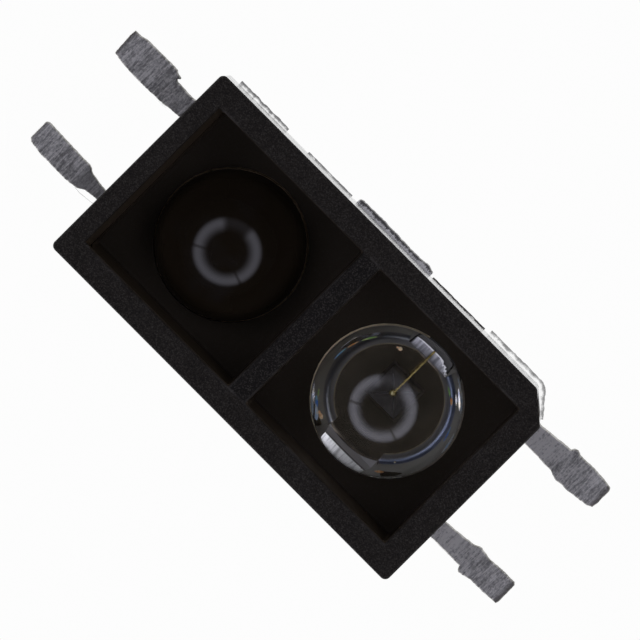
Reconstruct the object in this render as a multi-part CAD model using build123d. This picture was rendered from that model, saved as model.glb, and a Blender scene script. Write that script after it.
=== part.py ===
from build123d import *
import os
from dataclasses import dataclass
from math import radians, tan

# A reflective optical sensor: a black cap over two resin mouldings, one with the emitter and one
# with the detector, each on its own pair of flat leads. X runs from the detector end (-X) to the
# emitter end (+X), +Y is the side with the chamfered corner, +Z is the way the sensor looks.
# The origin is the centre of the underside. All sizes are in millimetres and degrees.

# Cap
CAP_LENGTH = 9.20
CAP_WIDTH = 4.75
CAP_HEIGHT = 1.95
CAP_CORNER = 0.12
CAP_DRAFT = 2.5
KEY_CHAMFER_X = 0.58
KEY_CHAMFER_Y = 0.50
END_WALL = 0.54
LONG_WALL = 0.53
PARTITION = 0.46
DECK_RISE = 0.45
WELL_DRAFT = 1.5
WELL_CORNER = 0.08
WELL_EDGE = 0.04
SIGHT_BEVEL_WIDTH = 0.13
SIGHT_BEVEL_DEPTH = 0.34
DECK_THICKNESS = 0.20
OUTER_EDGE = 0.03
APERTURE_GAP = 0.03
RIM_WALL = 0.50
WEB_GAP = 0.04
WEB_END_GAP = 0.15
WEB_LIFT = 0.10

# Resin mouldings
DOME_PITCH = 4.30
DOME_RADIUS = 1.49
RESIN_BELOW_FRAME = 0.60
RESIN_DRAFT = 5.0
RESIN_SPLIT = 0.50
RESIN_INSET = 0.01
RESIN_CORNER = 0.10
UPPER_GAP = 0.03
UPPER_SPLIT = 0.66
EJECTOR_RADIUS = 0.55
EJECTOR_DEPTH = 0.03

# Resin flash left round the parting plane
FLASH_THICKNESS = 0.04
FLASH_OUTER_FROM = 2.62
FLASH_OUTER_TO = 4.26
FLASH_INNER_FROM = 1.10
FLASH_INNER_TO = 2.46
FLASH_INNER_SET_BACK = 0.05
FLASH_KEY_X = 0.47
FLASH_KEY_Y = 0.60

# Lead frame
FRAME_THICKNESS = 0.25
LEAD_PITCH = 2.54
DAM_REACH = 0.70
TIP_REACH = 1.85
NECK_WIDTH = 0.42
FOOT_WIDTH = 0.60
FOOT_EDGE = 0.03
TIP_CORNER = 0.06
BURR_RADIUS = 0.06
BURR_PROUD = 0.03
TIE_LENGTH = 2.03
TIE_DEPTH = 0.65
TIE_PROUD = 0.03
TIE_CORNER = 0.05

# Die paddle, wire post and what is bonded to them
PADDLE_RADIUS = 0.58
PADDLE_FLAT = 0.53
PADDLE_DROP = 0.12
PADDLE_NECK_WIDTH = 0.48
RAMP_INNER = 0.60
RAMP_OUTER = 0.66
POST_WIDTH = 0.56
POST_EDGE = 0.59
DIE_OFFSET_X = -0.015
DIE_OFFSET_Y = 0.08
EMITTER_DIE_WIDTH = 0.40
EMITTER_DIE_HEIGHT = 0.18
DETECTOR_DIE_WIDTH = 0.56
DETECTOR_DIE_HEIGHT = 0.22
ATTACH_THICKNESS = 0.02
ATTACH_MARGIN = 0.02
WIRE_RADIUS = 0.0125
WIRE_LOOP = 0.17
WIRE_NECK_BEND = 0.05
WIRE_CROWN = 0.17
WIRE_FOOT = 0.06
WIRE_LANDING = 0.16
BALL_RADIUS = 0.04
BALL_HEIGHT = 0.03

# Levels and places that follow from the sizes above
frame_bottom = RESIN_BELOW_FRAME
parting_z = frame_bottom + FRAME_THICKNESS
top_z = parting_z + CAP_HEIGHT
deck_top = parting_z + DECK_RISE
well_depth = top_z - deck_top
deck_bottom = deck_top - DECK_THICKNESS
dome_centre_z = deck_top
dome_x = DOME_PITCH / 2
draft_set_back = (CAP_HEIGHT - OUTER_EDGE) * tan(radians(CAP_DRAFT))
rim_half_length = CAP_LENGTH / 2 - draft_set_back
rim_half_width = CAP_WIDTH / 2 - draft_set_back
resin_half_length = rim_half_length - RESIN_INSET
resin_half_width = rim_half_width - RESIN_INSET
cavity_half_width = rim_half_width - RIM_WALL
cavity_outer_x = rim_half_length - RIM_WALL
cavity_inner_x = UPPER_SPLIT / 2 - UPPER_GAP
paddle_top = parting_z - PADDLE_DROP
paddle_bottom = frame_bottom - PADDLE_DROP
tie_tip_y = CAP_WIDTH / 2 + TIE_PROUD
web_half_length = tie_tip_y - TIE_DEPTH - WEB_END_GAP


@dataclass(frozen=True)
class Lead:
    """Plan of one lead outside the resin, as trimmed and left by the real frame.

    side is +1 or -1 in Y. Every other value is a share of a nominal size: shift and neck_shift of
    the pitch, neck, foot and tip of the neck's or foot's width, dam and end of their reach.
    """

    side: int
    shift: float
    neck_shift: float
    neck: float
    foot: float
    tip: float
    dam: float
    end: float

    def foot_y(self):
        """Centre line of the foot."""
        return (self.side / 2 + self.shift) * LEAD_PITCH

    def neck_y(self):
        """Centre line of the neck."""
        return self.foot_y() + self.neck_shift * LEAD_PITCH

    def neck_width(self):
        """Width of the neck and of the arm inside the resin."""
        return self.neck * NECK_WIDTH

    def dam_x(self):
        """Where the dam bar was cut off."""
        return CAP_LENGTH / 2 + self.dam * DAM_REACH

    def tip_x(self):
        """Where the lead ends."""
        return CAP_LENGTH / 2 + self.end * TIP_REACH


EMITTER_DIE_LEAD = Lead(-1, 0.078, -0.008, 1.00, 0.90, 0.89, 1.19, 1.005)
EMITTER_POST_LEAD = Lead(+1, 0.114, -0.008, 1.17, 1.12, 0.94, 1.16, 0.99)
DETECTOR_DIE_LEAD = Lead(-1, 0.047, -0.004, 0.72, 0.88, 0.81, 0.80, 0.97)
DETECTOR_POST_LEAD = Lead(+1, 0.008, -0.028, 1.10, 1.07, 0.99, 0.83, 1.005)


def at(x, y, z, thing):
    """Move a sketch or solid to a place."""
    return Pos(x, y, z) * thing


def block(x0, x1, y0, y1, z0, z1):
    """A box between two corners."""
    return at((x0 + x1) / 2, (y0 + y1) / 2, (z0 + z1) / 2, Box(x1 - x0, y1 - y0, z1 - z0))


def keyed_plan(x0, x1, half_width, corner, key_x, key_y):
    """A rectangle in plan with rounded corners and, if key_x isn't 0, a cut (+X, +Y) corner."""
    outline = [(x0, -half_width), (x1, -half_width)]
    if key_x:
        outline += [(x1, half_width - key_y), (x1 - key_x, half_width)]
    else:
        outline += [(x1, half_width)]
    outline += [(x0, half_width)]
    face = make_face(Polyline(*outline, close=True))
    return fillet(face.vertices(), corner)


def drawn_down(face, height, draft):
    """Extrude a plan downwards, with its sides drawn in by the draft."""
    return extrude(face, amount=height, dir=(0, 0, -1), taper=draft)


def well(side):
    """The pocket over one dome, with its edge broken."""
    length = CAP_LENGTH / 2 - END_WALL - PARTITION / 2
    width = CAP_WIDTH - 2 * LONG_WALL
    centre_x = side * (PARTITION / 2 + length / 2)
    mouth = fillet(Rectangle(length, width).vertices(), WELL_CORNER)
    pocket = drawn_down(at(centre_x, 0, top_z, mouth), well_depth, WELL_DRAFT)
    flare = Rectangle(length + 2 * WELL_EDGE, width + 2 * WELL_EDGE)
    flare = fillet(flare.vertices(), WELL_CORNER + WELL_EDGE)
    return pocket + drawn_down(at(centre_x, 0, top_z, flare), WELL_EDGE, 45)


def sight_bevel():
    """The bevel along the top of the detector well's end wall."""
    wall_x = -(CAP_LENGTH / 2 - END_WALL)
    half = CAP_WIDTH / 2 - LONG_WALL
    section = Polyline(
        (wall_x - SIGHT_BEVEL_WIDTH, top_z),
        (wall_x, top_z - SIGHT_BEVEL_DEPTH),
        (wall_x + SIGHT_BEVEL_WIDTH, top_z),
        close=True,
    )
    return extrude(Plane.XZ * make_face(section), amount=half, both=True)


def housing():
    """The black cap: outer wall, wells, deck with its apertures, resin cavities and middle web."""
    half_length, half_width = CAP_LENGTH / 2, CAP_WIDTH / 2
    plan = keyed_plan(-half_length, half_length, half_width, CAP_CORNER, KEY_CHAMFER_X, KEY_CHAMFER_Y)
    plan = at(0, 0, top_z - OUTER_EDGE, plan)
    cap = drawn_down(plan, CAP_HEIGHT - OUTER_EDGE, CAP_DRAFT) + extrude(plan, amount=OUTER_EDGE, taper=45)
    cap -= sight_bevel()
    for side in (-1, 1):
        cap -= well(side)
        bore = Circle(DOME_RADIUS + APERTURE_GAP)
        cap -= extrude(at(side * dome_x, 0, deck_top, bore), amount=-DECK_RISE)
        low, high = sorted((side * cavity_inner_x, side * cavity_outer_x))
        cap -= block(low, high, -cavity_half_width, cavity_half_width, 0, deck_bottom)
    web_half = RESIN_SPLIT / 2 - WEB_GAP
    return cap + block(-web_half, web_half, -web_half_length, web_half_length, WEB_LIFT, deck_bottom)


def lens(side):
    """The dome and the short barrel that carries it up through the cap's aperture."""
    section = make_face(
        Polyline((0, dome_centre_z), (0, parting_z), (DOME_RADIUS, parting_z), (DOME_RADIUS, dome_centre_z))
        + RadiusArc((DOME_RADIUS, dome_centre_z), (0, dome_centre_z + DOME_RADIUS), -DOME_RADIUS)
        + Line((0, dome_centre_z + DOME_RADIUS), (0, dome_centre_z))
    )
    barrel = revolve(Plane.XZ * section, Axis.Z)
    low, high = sorted((side * UPPER_SPLIT / 2, side * (cavity_outer_x - UPPER_GAP)))
    half = cavity_half_width - UPPER_GAP
    shoulder = block(low, high, -half, half, parting_z, deck_bottom - UPPER_GAP)
    return at(side * dome_x, 0, 0, barrel) + shoulder


def flash(keyed):
    """Thin resin flash that stands out from the parting line in two steps, along both long sides."""
    key_x = FLASH_KEY_X if keyed else 0
    outer = keyed_plan(0, CAP_LENGTH / 2, CAP_WIDTH / 2, CAP_CORNER, key_x, FLASH_KEY_Y)
    reach = CAP_LENGTH / 2 if keyed else FLASH_OUTER_TO
    inner_edge = resin_half_width - RESIN_CORNER
    key_start = inner_edge - FLASH_KEY_Y
    strips = []
    for sense in (-1, 1):
        start = key_start if keyed and sense > 0 else inner_edge
        stop = reach if sense > 0 else FLASH_OUTER_TO
        far = at((FLASH_OUTER_FROM + stop) / 2, sense * (start + CAP_WIDTH) / 2, 0,
                 Rectangle(stop - FLASH_OUTER_FROM, CAP_WIDTH - start))
        near_edge = CAP_WIDTH / 2 - FLASH_INNER_SET_BACK
        near = at((FLASH_INNER_FROM + FLASH_INNER_TO) / 2, sense * (inner_edge + near_edge) / 2, 0,
                  Rectangle(FLASH_INNER_TO - FLASH_INNER_FROM, near_edge - inner_edge))
        strips += [outer & far, outer & near]
    return [drawn_down(at(0, 0, parting_z, strip), FLASH_THICKNESS, 0) for strip in strips]


def resin_body(side, keyed):
    """One moulding: lower block, flash, shoulder under the deck, barrel and dome."""
    key_x = FLASH_KEY_X if keyed else 0
    inner_x, outer_x = RESIN_SPLIT / 2, resin_half_length
    plan = keyed_plan(inner_x, outer_x, resin_half_width, RESIN_CORNER, key_x, FLASH_KEY_Y)
    lower = drawn_down(at(0, 0, parting_z, plan), parting_z, RESIN_DRAFT)
    for sheet in flash(keyed):
        lower += sheet
    if side < 0:
        lower = mirror(lower, about=Plane.YZ)
    mark = at(side * dome_x, 0, 0, Cylinder(EJECTOR_RADIUS, 2 * EJECTOR_DEPTH))
    return lower + lens(side) - mark


def lead_outside(lead):
    """Neck and foot of one lead, with rounded tip, burrs at the dam bar and broken top edges."""
    half_foot = FOOT_WIDTH * lead.foot / 2
    half_tip = FOOT_WIDTH * lead.tip / 2
    half_neck = lead.neck_width() / 2
    foot_y, neck_y, dam_x, tip_x = lead.foot_y(), lead.neck_y(), lead.dam_x(), lead.tip_x()
    plan = make_face(Polyline(
        (dam_x, foot_y - half_foot),
        (tip_x, foot_y - half_tip),
        (tip_x, foot_y + half_tip),
        (dam_x, foot_y + half_foot),
        close=True,
    ))
    plan = fillet(plan.vertices().sort_by(Axis.X)[2:], TIP_CORNER)
    foot = extrude(at(0, 0, frame_bottom, plan), amount=FRAME_THICKNESS)
    foot = chamfer(foot.faces().sort_by(Axis.Z)[-1].edges().sort_by(Axis.X)[1:], FOOT_EDGE)
    neck = block(resin_half_length, dam_x + BURR_RADIUS, neck_y - half_neck, neck_y + half_neck,
                 frame_bottom, parting_z)
    neck = chamfer(neck.faces().sort_by(Axis.Z)[-1].edges().filter_by(Axis.X), FOOT_EDGE)
    solid = foot + neck
    for sense in (-1, 1):
        burr_y = foot_y + sense * (half_foot - BURR_RADIUS + BURR_PROUD)
        burr = at(dam_x + BURR_RADIUS, burr_y, frame_bottom, Circle(BURR_RADIUS))
        solid += extrude(burr, amount=FRAME_THICKNESS - FOOT_EDGE)
    return solid


def lead_arm(lead, inner_x):
    """The straight run of a lead inside the resin, from its inner end out to the neck."""
    neck_y, half = lead.neck_y(), lead.neck_width() / 2
    return block(inner_x, resin_half_length, neck_y - half, neck_y + half, frame_bottom, parting_z)


def die_lead(lead):
    """The lead whose inner end ramps down to the round paddle under the die."""
    half_neck = PADDLE_NECK_WIDTH / 2
    arm_end = lead.neck_y() - lead.neck_width() / 2
    section = Polyline(
        (arm_end, parting_z), (-RAMP_OUTER, parting_z), (-RAMP_INNER, paddle_top), (0, paddle_top),
        (0, paddle_bottom), (-RAMP_INNER, paddle_bottom), (-RAMP_OUTER, frame_bottom),
        (arm_end, frame_bottom),
        close=True,
    )
    ramp = at(dome_x, 0, 0, extrude(Plane.YZ * make_face(section), amount=half_neck, both=True))
    kept = Rectangle(4 * PADDLE_RADIUS, 2 * PADDLE_RADIUS)
    disc = Circle(PADDLE_RADIUS) & at(0, PADDLE_FLAT - PADDLE_RADIUS, 0, kept)
    paddle = extrude(at(dome_x, 0, paddle_bottom, disc), amount=FRAME_THICKNESS)
    return lead_outside(lead) + lead_arm(lead, dome_x - half_neck) + ramp + paddle


def post_lead(lead):
    """The lead whose inner end is the post that the bond wire lands on."""
    half = POST_WIDTH / 2
    arm_end = lead.neck_y() + lead.neck_width() / 2
    post_x = dome_x + DIE_OFFSET_X
    post = block(post_x - half, post_x + half, POST_EDGE, arm_end, frame_bottom, parting_z)
    return lead_outside(lead) + lead_arm(lead, post_x - half) + post


def die_place():
    """Centre of the die in plan."""
    return dome_x + DIE_OFFSET_X, DIE_OFFSET_Y


def die_attach(die_width):
    """Adhesive bed under a die, spread a little at its foot."""
    x, y = die_place()
    foot_width = die_width + 2 * ATTACH_MARGIN
    foot = fillet(Rectangle(foot_width, foot_width).vertices(), ATTACH_MARGIN)
    top = fillet(Rectangle(die_width, die_width).vertices(), ATTACH_MARGIN / 4)
    return loft([at(x, y, paddle_top, foot), at(x, y, paddle_top + ATTACH_THICKNESS, top)])


def die(die_width, die_height):
    """A square chip on its adhesive bed."""
    x, y = die_place()
    low = paddle_top + ATTACH_THICKNESS
    half = die_width / 2
    return block(x - half, x + half, y - half, y + half, low, low + die_height)


def bond_wire(die_height):
    """Gold wire: ball on the die, neck, low loop over the die's edge, stitch on the post."""
    x, y = die_place()
    die_top = paddle_top + ATTACH_THICKNESS + die_height
    ball_top = die_top + BALL_HEIGHT
    loop_z = die_top + WIRE_LOOP
    landing_z = parting_z + WIRE_RADIUS
    landing_y = POST_EDGE + WIRE_LANDING
    route = Polyline(
        (x, y, ball_top),
        (x, y, loop_z - WIRE_NECK_BEND),
        (x, y + WIRE_NECK_BEND, loop_z),
        (x, y + WIRE_CROWN, loop_z - WIRE_RADIUS),
        (x, landing_y - WIRE_FOOT, landing_z),
        (x, landing_y, landing_z),
    )
    start = Plane(origin=(x, y, ball_top), z_dir=(0, 0, 1)) * Circle(WIRE_RADIUS)
    ball = at(x, y, die_top + BALL_HEIGHT / 2, Cylinder(BALL_RADIUS, BALL_HEIGHT))
    return sweep(start, path=route, transition=Transition.RIGHT) + ball


def tie_bar(side):
    """Stub of the frame's tie bar, sheared just proud of the cap."""
    plan = fillet(Rectangle(TIE_LENGTH, TIE_DEPTH).vertices(), TIE_CORNER)
    return extrude(at(0, side * (tie_tip_y - TIE_DEPTH / 2), frame_bottom, plan), amount=FRAME_THICKNESS)


def emitter_set():
    """Everything inside the emitter moulding, built at the +X end."""
    return {
        "emitter_die_lead": die_lead(EMITTER_DIE_LEAD),
        "emitter_post_lead": post_lead(EMITTER_POST_LEAD),
        "emitter_die_attach": die_attach(EMITTER_DIE_WIDTH),
        "emitter_die": die(EMITTER_DIE_WIDTH, EMITTER_DIE_HEIGHT),
        "emitter_bond_wire": bond_wire(EMITTER_DIE_HEIGHT),
    }


def detector_set():
    """Everything inside the detector moulding, built at the +X end and mirrored to -X."""
    pieces = {
        "detector_die_lead": die_lead(DETECTOR_DIE_LEAD),
        "detector_post_lead": post_lead(DETECTOR_POST_LEAD),
        "detector_die_attach": die_attach(DETECTOR_DIE_WIDTH),
        "detector_die": die(DETECTOR_DIE_WIDTH, DETECTOR_DIE_HEIGHT),
        "detector_bond_wire": bond_wire(DETECTOR_DIE_HEIGHT),
    }
    return {name: mirror(piece, about=Plane.YZ) for name, piece in pieces.items()}


def build():
    """All pieces of the sensor by name."""
    ties = {"tie_bar_plus_y": tie_bar(1), "tie_bar_minus_y": tie_bar(-1)}
    emitter_inside = emitter_set()
    detector_inside = detector_set()
    emitter = resin_body(1, True)
    detector = resin_body(-1, False)
    for piece in [*emitter_inside.values(), *ties.values()]:
        emitter -= piece
    for piece in [*detector_inside.values(), *ties.values()]:
        detector -= piece
    bodies = {"housing": housing(), "emitter_body": emitter, "detector_body": detector}
    return {**bodies, **emitter_inside, **detector_inside, **ties}


os.makedirs("parts", exist_ok=True)
for name, piece in build().items():
    export_step(piece, f"parts/{name}.step")
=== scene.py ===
import logging
import math
import random
from dataclasses import dataclass
from enum import Enum
from typing import Any, Callable, Optional, Sequence, Union

import bmesh
import bpy
from mathutils import Matrix, Vector


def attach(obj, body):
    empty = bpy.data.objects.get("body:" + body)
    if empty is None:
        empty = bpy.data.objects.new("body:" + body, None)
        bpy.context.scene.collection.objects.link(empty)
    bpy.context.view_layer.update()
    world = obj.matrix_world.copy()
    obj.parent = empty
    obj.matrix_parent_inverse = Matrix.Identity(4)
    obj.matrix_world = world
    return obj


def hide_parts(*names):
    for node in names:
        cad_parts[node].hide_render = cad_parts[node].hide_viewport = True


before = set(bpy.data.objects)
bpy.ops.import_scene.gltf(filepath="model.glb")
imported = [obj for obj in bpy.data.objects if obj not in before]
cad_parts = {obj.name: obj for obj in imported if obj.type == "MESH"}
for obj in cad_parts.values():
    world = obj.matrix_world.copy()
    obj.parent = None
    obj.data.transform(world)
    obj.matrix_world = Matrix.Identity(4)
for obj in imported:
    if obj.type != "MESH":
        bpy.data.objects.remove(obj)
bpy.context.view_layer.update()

LOG = logging.getLogger("reflective_sensor")
MM = 0.001
Node = bpy.types.Node
Thing = bpy.types.Object
Operand = Union["Value", float]
Colour = tuple[float, float, float]
Point = tuple[float, float, float]
Spot = tuple[float, float]
Span = tuple[float, float]
Outline = Sequence[Spot]
BLACK: Colour = (0.0, 0.0, 0.0)
WHITE: Colour = (1.0, 1.0, 1.0)

# Places and sizes that several pieces share, in millimetres, and the clear resin's index
DOME_X = 2.15
DOME_BASE = 1.30
DOME_RADIUS = 1.49
CHIP: Spot = (2.135, 0.08)
FRAME_LOW = 0.60
FRAME_HIGH = 0.85
RESIN_INDEX = 1.55

# The attribute that says how far out on its ledge a point of the flash lies, from 0 to 1
REACH = "reach"


# ---------------------------------------------------------------------------------------------
# Node building
# ---------------------------------------------------------------------------------------------


class Value:
    """A node socket that takes part in Python arithmetic by adding Math nodes to its tree."""

    def __init__(self, graph: "NodeGraph", socket: Any) -> None:
        """Wraps a socket.

        Args:
            graph: the graph that new Math nodes go to.
            socket: an output socket.
        """
        self.graph = graph
        self.socket = socket

    def _math(self, operation: str, *operands: Operand) -> "Value":
        """Adds one Math node.

        Args:
            operation: the Math node's operation.
            operands: its inputs in order.

        Returns:
            The node's output.
        """
        node = self.graph.add("Math", {"operation": operation}, dict(enumerate(operands)))
        return Value(self.graph, node.outputs[0])

    def __add__(self, other: Operand) -> "Value":
        """Sum."""
        return self._math("ADD", self, other)

    __radd__ = __add__

    def __sub__(self, other: Operand) -> "Value":
        """Difference."""
        return self._math("SUBTRACT", self, other)

    def __rsub__(self, other: float) -> "Value":
        """Difference from a plain number."""
        return self._math("SUBTRACT", other, self)

    def __mul__(self, other: Operand) -> "Value":
        """Product."""
        return self._math("MULTIPLY", self, other)

    __rmul__ = __mul__

    def __truediv__(self, other: Operand) -> "Value":
        """Quotient."""
        return self._math("DIVIDE", self, other)

    def __pow__(self, other: float) -> "Value":
        """Power."""
        return self._math("POWER", self, other)

    def __abs__(self) -> "Value":
        """Size without sign."""
        return self._math("ABSOLUTE", self)

    def maximum(self, other: Operand) -> "Value":
        """The greater of two."""
        return self._math("MAXIMUM", self, other)

    def minimum(self, other: Operand) -> "Value":
        """The lesser of two."""
        return self._math("MINIMUM", self, other)

    def above(self, limit: float) -> "Value":
        """1 where this is over the limit, else 0."""
        return self._math("GREATER_THAN", self, limit)

    def ramp(self, low: float, high: float, out_low: float = 0.0, out_high: float = 1.0) -> "Value":
        """Maps low to high smoothly onto out_low to out_high.

        Args:
            low: where the ramp starts.
            high: where it ends.
            out_low: what it gives up to low.
            out_high: what it gives from high on.

        Returns:
            The mapped value.
        """
        settings = {"interpolation_type": "SMOOTHSTEP"}
        inputs = {"Value": self, "From Min": low, "From Max": high, "To Min": out_low, "To Max": out_high}
        return Value(self.graph, self.graph.add("MapRange", settings, inputs).outputs[0])

    def fall(self, low: float, high: float) -> "Value":
        """1 up to low, then smoothly down to 0 from high on."""
        return self.ramp(low, high, 1.0, 0.0)


class NodeGraph:
    """Adds nodes to one shader tree: settings first, then values or links by socket name or index."""

    def __init__(self, tree: bpy.types.NodeTree) -> None:
        """Starts on a tree.

        Args:
            tree: the tree that nodes go to.
        """
        self.tree = tree

    def add(self, kind: str, settings: Optional[dict] = None, inputs: Optional[dict] = None) -> Node:
        """Adds a node.

        Args:
            kind: the type without its ShaderNode prefix, or a whole type of another family.
            settings: attributes, set before the sockets.
            inputs: socket name or index to a number, colour, vector, Value or output socket.

        Returns:
            The new node.
        """
        whole = kind.startswith(("Geometry", "Function", "NodeGroup"))
        node = self.tree.nodes.new(kind if whole else "ShaderNode" + kind)
        for name, value in (settings or {}).items():
            setattr(node, name, value)
        self.fill(node, inputs or {})
        return node

    def put(self, socket: Any, value: Any) -> None:
        """Sets a socket to a plain value or links it.

        Args:
            socket: an input socket.
            value: a number, tuple, Value or output socket.
        """
        if isinstance(value, Value):
            self.tree.links.new(value.socket, socket)
        elif isinstance(value, bpy.types.NodeSocket):
            self.tree.links.new(value, socket)
        elif socket.type == "RGBA" and isinstance(value, tuple) and len(value) == 3:
            socket.default_value = (*value, 1.0)
        else:
            socket.default_value = value

    def fill(self, node: Node, inputs: dict) -> None:
        """Sets a node's sockets, by name or index, to what put takes."""
        for key, value in inputs.items():
            self.put(node.inputs[key], value)

    def place(self) -> Any:
        """The piece's own coordinates, in metres."""
        return self.add("TexCoord").outputs["Object"]

    def axes(self) -> tuple[Value, Value, Value]:
        """The piece's own coordinates in millimetres.

        Returns:
            One Value for each axis.
        """
        node = self.add("SeparateXYZ", None, {0: self.place()})
        x, y, z = (Value(self, output) / MM for output in node.outputs)
        return x, y, z

    def from_dome(self) -> Value:
        """The plan distance from the nearer dome's axis.

        Returns:
            The distance, in millimetres.
        """
        x, y, _ = self.axes()
        aside = abs(x) - DOME_X
        return (aside * aside + y * y) ** 0.5

    def stretched(self, scale: Point, turn: Point = (0.0, 0.0, 0.0)) -> Any:
        """The piece's own coordinates scaled per axis.

        Args:
            scale: factors, in units per metre.
            turn: a rotation in radians.

        Returns:
            The vector output.
        """
        node = self.add("Mapping", None, {"Vector": self.place(), "Rotation": turn, "Scale": scale})
        return node.outputs[0]

    def noise(self, vector: Any, scale: float, detail: float = 3.0, roughness: float = 0.55) -> Value:
        """Noise over a vector.

        Args:
            vector: where it is read.
            scale: its frequency.
            detail: its octaves.
            roughness: how strong the fine octaves are.

        Returns:
            The noise, about 0 to 1.
        """
        inputs = {"Vector": vector, "Scale": scale, "Detail": detail, "Roughness": roughness}
        return Value(self, self.add("TexNoise", None, inputs).outputs[0])

    def cells(self, vector: Any, scale: float) -> Value:
        """Distance to the nearest of many scattered points.

        Args:
            vector: where it is read.
            scale: the points' frequency.

        Returns:
            The distance.
        """
        node = self.add("TexVoronoi", None, {"Vector": vector, "Scale": scale})
        return Value(self, node.outputs["Distance"])

    def mixed(self, factor: Operand, first: Any, second: Any) -> Any:
        """Mixes two colours.

        Args:
            factor: share of the second.
            first: a colour or output.
            second: a colour or output.

        Returns:
            The colour output.
        """
        settings = {"data_type": "RGBA", "blend_type": "MIX", "clamp_factor": True}
        return self.add("Mix", settings, {0: factor, 6: first, 7: second}).outputs[2]

    def layered(self, tone: Any, *layers: tuple[Operand, Any]) -> Any:
        """Lays colours over a tone, one after the other.

        Args:
            tone: the lowest colour or output.
            layers: how far each colour covers what lies under it, and the colour or output.

        Returns:
            The colour output.
        """
        for share, colour in layers:
            tone = self.mixed(share, tone, colour)
        return tone

    def bump(self, height: Value, distance: float, strength: float) -> Any:
        """A normal shaped by a height.

        Args:
            height: 0 to 1.
            distance: metres that 1 stands for.
            strength: how much of it counts.

        Returns:
            The normal output.
        """
        inputs = {"Height": height, "Distance": distance, "Strength": strength}
        return self.add("Bump", None, inputs).outputs[0]


class Finish:
    """A material with one Principled shader, set up by its subclass."""

    name: str

    def dress(self, graph: NodeGraph, shader: Node) -> None:
        """Sets the shader's sockets.

        Args:
            graph: the material's graph.
            shader: its Principled node.
        """
        raise NotImplementedError

    def material(self) -> bpy.types.Material:
        """The finish's material, made on first use.

        Returns:
            The material.
        """
        known = bpy.data.materials.get(self.name)
        if known is not None:
            return known
        made = bpy.data.materials.new(self.name)
        made.use_nodes = True
        tree = made.node_tree
        tree.nodes.clear()
        graph = NodeGraph(tree)
        shader = graph.add("BsdfPrincipled")
        graph.add("OutputMaterial", None, {"Surface": self.surface(graph, shader)})
        self.dress(graph, shader)
        LOG.info("finish %s", self.name)
        return made

    def surface(self, graph: NodeGraph, shader: Node) -> Any:
        """What goes to the material's output.

        Args:
            graph: the material's graph.
            shader: its Principled node.

        Returns:
            A shader output.
        """
        return shader.outputs[0]


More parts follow.
